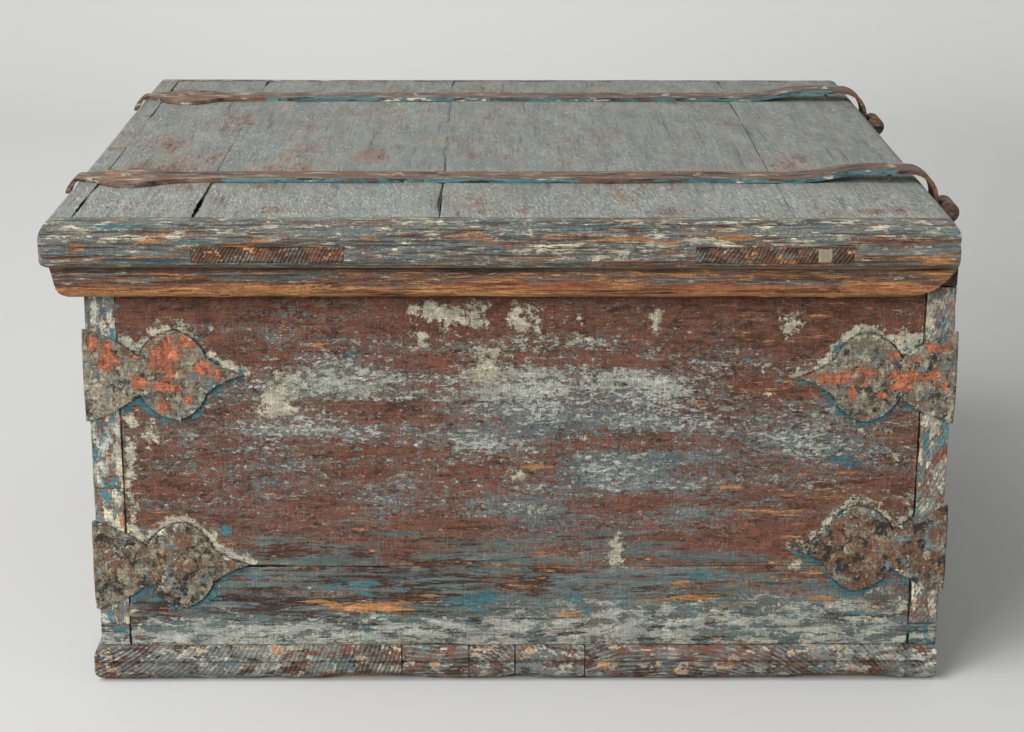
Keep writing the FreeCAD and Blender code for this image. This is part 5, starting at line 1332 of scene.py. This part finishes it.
def nail_tree():
    """Geometry Nodes tree that sets a forged nail head and stem on every point, facing its aim."""
    tree = bpy.data.node_groups.new("Forged nails", "GeometryNodeTree")
    face = tree.interface
    face.new_socket("Geometry", in_out="INPUT", socket_type="NodeSocketGeometry")
    for name, value in (("Head Radius", 0.0044), ("Head Rise", 0.0008), ("Stem Width", 0.0026),
                        ("Stem Length", 0.015), ("Beating", 0.0004)):
        face.new_socket(name, in_out="INPUT", socket_type="NodeSocketFloat").default_value = value
    face.new_socket("Seed", in_out="INPUT", socket_type="NodeSocketInt").default_value = 3
    face.new_socket("Iron", in_out="INPUT", socket_type="NodeSocketMaterial")
    face.new_socket("Geometry", in_out="OUTPUT", socket_type="NodeSocketGeometry")

    def add(kind, inputs=None, **settings):
        node = tree.nodes.new(kind)
        for name, value in settings.items():
            setattr(node, name, value)
        for name, value in (inputs or {}).items():
            if isinstance(value, bpy.types.NodeSocket):
                tree.links.new(value, node.inputs[name])
            else:
                node.inputs[name].default_value = value
        return node

    given = add("NodeGroupInput").outputs
    stem_width = given["Stem Width"]
    head = add("GeometryNodeMeshCone", {"Vertices": 11, "Side Segments": 2, "Fill Segments": 2,
                                        "Radius Top": stem_width, "Radius Bottom": given["Head Radius"],
                                        "Depth": given["Head Rise"]}, fill_type="TRIANGLE_FAN")
    size = add("ShaderNodeCombineXYZ", {0: stem_width, 1: stem_width, 2: given["Stem Length"]})
    stem = add("GeometryNodeMeshCube", {"Size": size.outputs[0]})
    drop = add("ShaderNodeMath", {0: given["Stem Length"], 1: -0.5}, operation="MULTIPLY")
    down = add("ShaderNodeCombineXYZ", {2: drop.outputs[0]})
    placed = add("GeometryNodeTransform", {"Geometry": stem.outputs["Mesh"], "Translation": down.outputs[0]})
    nail = add("GeometryNodeJoinGeometry")
    tree.links.new(head.outputs["Mesh"], nail.inputs[0])
    tree.links.new(placed.outputs[0], nail.inputs[0])
    aim = add("GeometryNodeInputNamedAttribute", {"Name": "aim"}, data_type="FLOAT_VECTOR")
    turn = add("FunctionNodeAlignRotationToVector", {"Vector": aim.outputs[0]}, axis="Z")
    spin = add("FunctionNodeRandomValue", {2: 0.0, 3: 6.283, "Seed": given["Seed"]}, data_type="FLOAT")
    about = add("FunctionNodeAxisAngleToRotation", {"Axis": (0, 0, 1), "Angle": spin.outputs[1]})
    both = add("FunctionNodeRotateRotation", {"Rotation": turn.outputs[0], "Rotate By": about.outputs[0]},
               rotation_space="LOCAL")
    many = add("GeometryNodeInstanceOnPoints", {"Points": given["Geometry"], "Instance": nail.outputs[0],
                                                "Rotation": both.outputs[0]})
    real = add("GeometryNodeRealizeInstances", {"Geometry": many.outputs[0]})
    place = add("GeometryNodeInputPosition")
    chance = add("ShaderNodeTexNoise", {"Vector": place.outputs[0], "Scale": 210.0, "Detail": 2.0})
    centred = add("ShaderNodeVectorMath", {0: chance.outputs["Color"], 1: (0.5, 0.5, 0.5)},
                  operation="SUBTRACT")
    moved = add("ShaderNodeVectorMath", {0: centred.outputs[0], 3: given["Beating"]}, operation="SCALE")
    beaten = add("GeometryNodeSetPosition", {"Geometry": real.outputs[0], "Offset": moved.outputs[0]})
    coated = add("GeometryNodeSetMaterial", {"Geometry": beaten.outputs[0], "Material": given["Iron"]})
    out = add("NodeGroupOutput")
    tree.links.new(coated.outputs[0], out.inputs[0])
    return tree


def shells(node):
    """The separate solids of a CAD node, each as a list of its points."""
    bm = opened(node)
    groups, seen = [], set()
    for first in bm.verts:
        if first.index in seen:
            continue
        stack, group = [first], []
        seen.add(first.index)
        while stack:
            vert = stack.pop()
            group.append(vert.co.copy())
            for edge in vert.link_edges:
                other = edge.other_vert(vert)
                if other.index not in seen:
                    seen.add(other.index)
                    stack.append(other)
        groups.append(np.array(group))
    bm.free()
    return groups


NAILED = ("corner_iron_nails", "strap_nails", "hinge_leaf_nails", "bottom_board_nails", "skirt_nails",
          "lid_back_nails", "lock_case_nails", "keyhole_plate_pins", "lock_staple_nails")


class CHEST_OT_nails(bpy.types.Operator):
    """Set forged nails in the irons, straps, leaves, moulding, lid and bottom"""
    bl_idname = "chest.nails"
    bl_label = "Nails"

    def execute(self, context):
        irons = context.scene.chest_irons
        tree = nail_tree()
        dark = plain_iron("nail_iron", irons.rust, irons.pale, 0.6, 0.2)
        for number, node in enumerate(NAILED):
            sizes = {}
            for group in shells(node):
                low, high = group.min(axis=0), group.max(axis=0)
                axis = int(np.argmax(high - low))
                others = [k for k in range(3) if k != axis]
                middle = (low + high) / 2
                wide = np.abs(group[:, others] - middle[others]).max(axis=1)
                head_at = group[wide > wide.max() * 0.97, axis].mean()
                outward = 1.0 if head_at > middle[axis] else -1.0
                aim, point = np.zeros(3), middle.copy()
                aim[axis], point[axis] = outward, head_at
                key = (round(float(wide.max()), 5), round(float(high[axis] - low[axis]), 4))
                sizes.setdefault(key, []).append((point, aim))
            for place, ((radius, length), items) in enumerate(sorted(sizes.items())):
                values = {"Head Radius": radius, "Head Rise": min(0.0012, radius * 0.3),
                          "Stem Width": radius * 0.5, "Stem Length": length - 0.001,
                          "Beating": radius * 0.16, "Seed": number + place, "Iron": dark}
                self.set_nails(f"forged_{node}_{place}", node, items, tree, values, place == 0)
        return {"FINISHED"}

    def set_nails(self, name, node, items, tree, values, first):
        """Nails of one size at the points and aims in items; the first lot takes the node's place."""
        points = bpy.data.meshes.new(name + "_points")
        points.from_pydata([p for p, _ in items], [], [])
        aims = points.attributes.new("aim", "FLOAT_VECTOR", "POINT")
        aims.data.foreach_set("vector", np.array([a for _, a in items]).ravel())
        maker = put(name + "_maker", points)
        modifier = maker.modifiers.new("nails", "NODES")
        modifier.node_group = tree
        for item in tree.interface.items_tree:
            if item.item_type == "SOCKET" and item.in_out == "INPUT" and item.name in values:
                modifier[item.identifier] = values[item.name]
        graph = bpy.context.evaluated_depsgraph_get()
        made = bpy.data.meshes.new_from_object(maker.evaluated_get(graph))
        bpy.data.objects.remove(maker)
        made.shade_smooth()
        made.set_sharp_from_angle(angle=SHARP)
        piece = put(name, made)
        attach(piece, BODY_OF[node])
        if first:
            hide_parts(node)


class CHEST_OT_small_iron(bpy.types.Operator):
    """Finish the lock, the keyhole plate, the staple and the bolt in dark iron, and the spikes in paler olive
    iron
    """
    bl_idname = "chest.small_iron"
    bl_label = "Lock and spikes"

    def execute(self, context):
        irons = context.scene.chest_irons
        lock = plain_iron("lock_iron", irons.rust, irons.strap, 0.5, 0.5)
        spike = plain_iron("spike_iron", irons.olive, irons.pale, 0.6, 0.1)
        for node in ("lock_case", "lock_staple", "lock_bolt", "keyhole_plate"):
            piece = Worked(node, (0.004, 0.004, 0.004), 0.0004, shortest=0.003)
            piece.mark_rims()
            if node == "keyhole_plate":
                piece.push(0.0002 * field(piece.rest, 0.007, 88) * (piece.rest[:, 1] < -SIDE_FACE - 0.0008))
            piece.finish([lock])
        piece = Worked("cleat_spikes", (0.002, 0.002, 0.002), 0.0006, shortest=0.003)
        piece.push(0.0003 * field(piece.rest, 0.003, 89))
        piece.finish([spike])
        return {"FINISHED"}


class CHEST_OT_stage(bpy.types.Operator):
    """Set the pale floor and backdrop, the soft lamps and the camera"""
    bl_idname = "chest.stage"
    bl_label = "Stage"

    def execute(self, context):
        stage = context.scene.chest_stage
        self.floor(stage)
        self.lamps(stage)
        self.camera(stage)
        context.scene.view_settings.view_transform = "Standard"
        return {"FINISHED"}

    def floor(self, stage):
        """A floor that sweeps up behind the chest, with painted shade and a painted shadow in its colour."""
        start, radius, steps = -1.6, 0.9, 12
        turns = [k * math.pi / (2 * steps) for k in range(steps + 1)]
        outline = [(4.0, 0.0)]
        outline += [(start - radius * math.sin(turn), radius - radius * math.cos(turn)) for turn in turns]
        outline.append((start - radius, 4.0))
        points = [(x, y, z) for x, z in outline for y in (-5.0, 5.0)]
        faces = [(2 * k, 2 * k + 1, 2 * k + 3, 2 * k + 2) for k in range(len(outline) - 1)]
        mesh = bpy.data.meshes.new("sweep")
        mesh.from_pydata(points, [], faces)
        mesh.shade_smooth()
        floor = put("sweep", mesh)
        sh = Skin("studio_paper_painted_shade")
        across, far = sh.part(1), sh.part(0)
        # Painted shade and a painted shadow: the paper is darker towards the front and at the far left, and
        # in a soft patch behind the chest to its right.
        near = sh.times(sh.shift(far, -1.9, 0.2, 1.0, 0.75), sh.shift(far, 0.2, 0.6, 1.0, 0.91))
        drop = sh.times(sh.minus(1.0, sh.shift(across, 0.1, 0.75, 1.0, 0.825)),
                        sh.times(sh.shift(far, -2.3, -1.2, 0.0, 1.0), sh.shift(far, 0.15, -0.35, 0.0, 1.0)))
        left = sh.shift(across, -0.8, -0.2, 0.93, 1.0)
        soft = sh.times(sh.times(near, left), sh.minus(1.0, drop))
        grey = sh.add("CombineXYZ", {0: soft, 1: soft, 2: soft}).outputs[0]
        colour = sh.blend(1.0, stage.floor, grey, "MULTIPLY")
        shader = sh.add("BsdfPrincipled", {"Base Color": colour, "Roughness": 0.9, "Specular IOR Level": 0.2})
        sh.add("OutputMaterial", {"Surface": shader.outputs[0]})
        mesh.materials.append(sh.material)

    def lamps(self, stage):
        world = bpy.data.worlds.new("studio")
        bpy.context.scene.world = world
        world.use_nodes = True
        given = world.node_tree.nodes["Background"].inputs
        given["Color"].default_value, given["Strength"].default_value = (1.0, 1.0, 1.0, 1.0), 0.54
        for name, at, to, size, share in (
                ("key", (0.9, -1.5, 2.3), (0, 0, 0.15), (1.6, 1.6), 3.05),
                ("fill", (2.4, -1.7, 1.5), (0, -0.1, 0.25), (1.6, 1.0), 4.15)):
            lamp = bpy.data.lights.new(name, "AREA")
            lamp.shape, lamp.size, lamp.size_y = "RECTANGLE", *size
            lamp.energy = stage.key_power * share
            item = put(name, lamp)
            item.location = at
            item.rotation_euler = (Vector(to) - Vector(at)).to_track_quat("-Z", "Y").to_euler()

    def camera(self, stage):
        """The photograph's view: from the right-hand end, a little above."""
        pitch, yaw, roll = 0.2932, -0.0092, -0.0026
        c, s = math.cos(yaw), math.sin(yaw)
        cp, sp = math.cos(pitch), math.sin(pitch)
        cr, sr = math.cos(roll), math.sin(roll)
        ahead = Vector((-cp * c, -cp * s, -sp))
        side, up = Vector((-s, c, 0)), Vector((-sp * c, -sp * s, cp))
        right, top = cr * side - sr * up, sr * side + cr * up
        data = bpy.data.cameras.new("view")
        data.sensor_width, data.lens, data.clip_end = 36, stage.lens, 30
        camera = put("view", data)
        eye = (1.5249, -0.0172, LID_TOP + 0.29946)
        rows = [(right[k], top[k], -ahead[k], eye[k]) for k in range(3)]
        camera.matrix_world = Matrix((*rows, (0, 0, 0, 1)))
        bpy.context.scene.camera = camera


class CHEST_PT_panel(bpy.types.Panel):
    bl_label = "Painted chest"
    bl_idname = "CHEST_PT_panel"
    bl_space_type = "VIEW_3D"
    bl_region_type = "UI"
    bl_category = "Chest"

    def draw(self, context):
        for step in STEPS:
            self.layout.operator(step.bl_idname)
        for name in ("chest_paints", "chest_woods", "chest_irons", "chest_wear", "chest_stage"):
            group = getattr(context.scene, name)
            box = self.layout.box()
            for key in group.__annotations__:
                box.prop(group, key)


STEPS = (CHEST_OT_stage, CHEST_OT_carcase, CHEST_OT_bottom, CHEST_OT_lid, CHEST_OT_mouldings,
         CHEST_OT_corner_irons, CHEST_OT_ridges, CHEST_OT_straps, CHEST_OT_nails, CHEST_OT_small_iron)
GROUPS = {"chest_paints": ChestPaints, "chest_woods": ChestWoods, "chest_irons": ChestIrons,
          "chest_wear": ChestWear, "chest_stage": ChestStage}


def register():
    for name, group in GROUPS.items():
        bpy.utils.register_class(group)
        setattr(bpy.types.Scene, name, PointerProperty(type=group))
    for item in (*STEPS, CHEST_PT_panel):
        bpy.utils.register_class(item)


def unregister():
    for item in reversed((*STEPS, CHEST_PT_panel)):
        bpy.utils.unregister_class(item)
    for name, group in reversed(GROUPS.items()):
        delattr(bpy.types.Scene, name)
        bpy.utils.unregister_class(group)


def main():
    register()
    for build in (build_worn_paint, build_scratches, build_grain, build_end_grain, build_edge_wear,
                  build_scale):
        build()
    bpy.ops.chest.stage()
    bpy.ops.chest.carcase()
    bpy.ops.chest.bottom()
    bpy.ops.chest.lid()
    bpy.ops.chest.mouldings()
    bpy.ops.chest.corner_irons()
    bpy.ops.chest.ridges()
    bpy.ops.chest.straps()
    bpy.ops.chest.nails()
    bpy.ops.chest.small_iron()


if __name__ == "__main__":
    main()
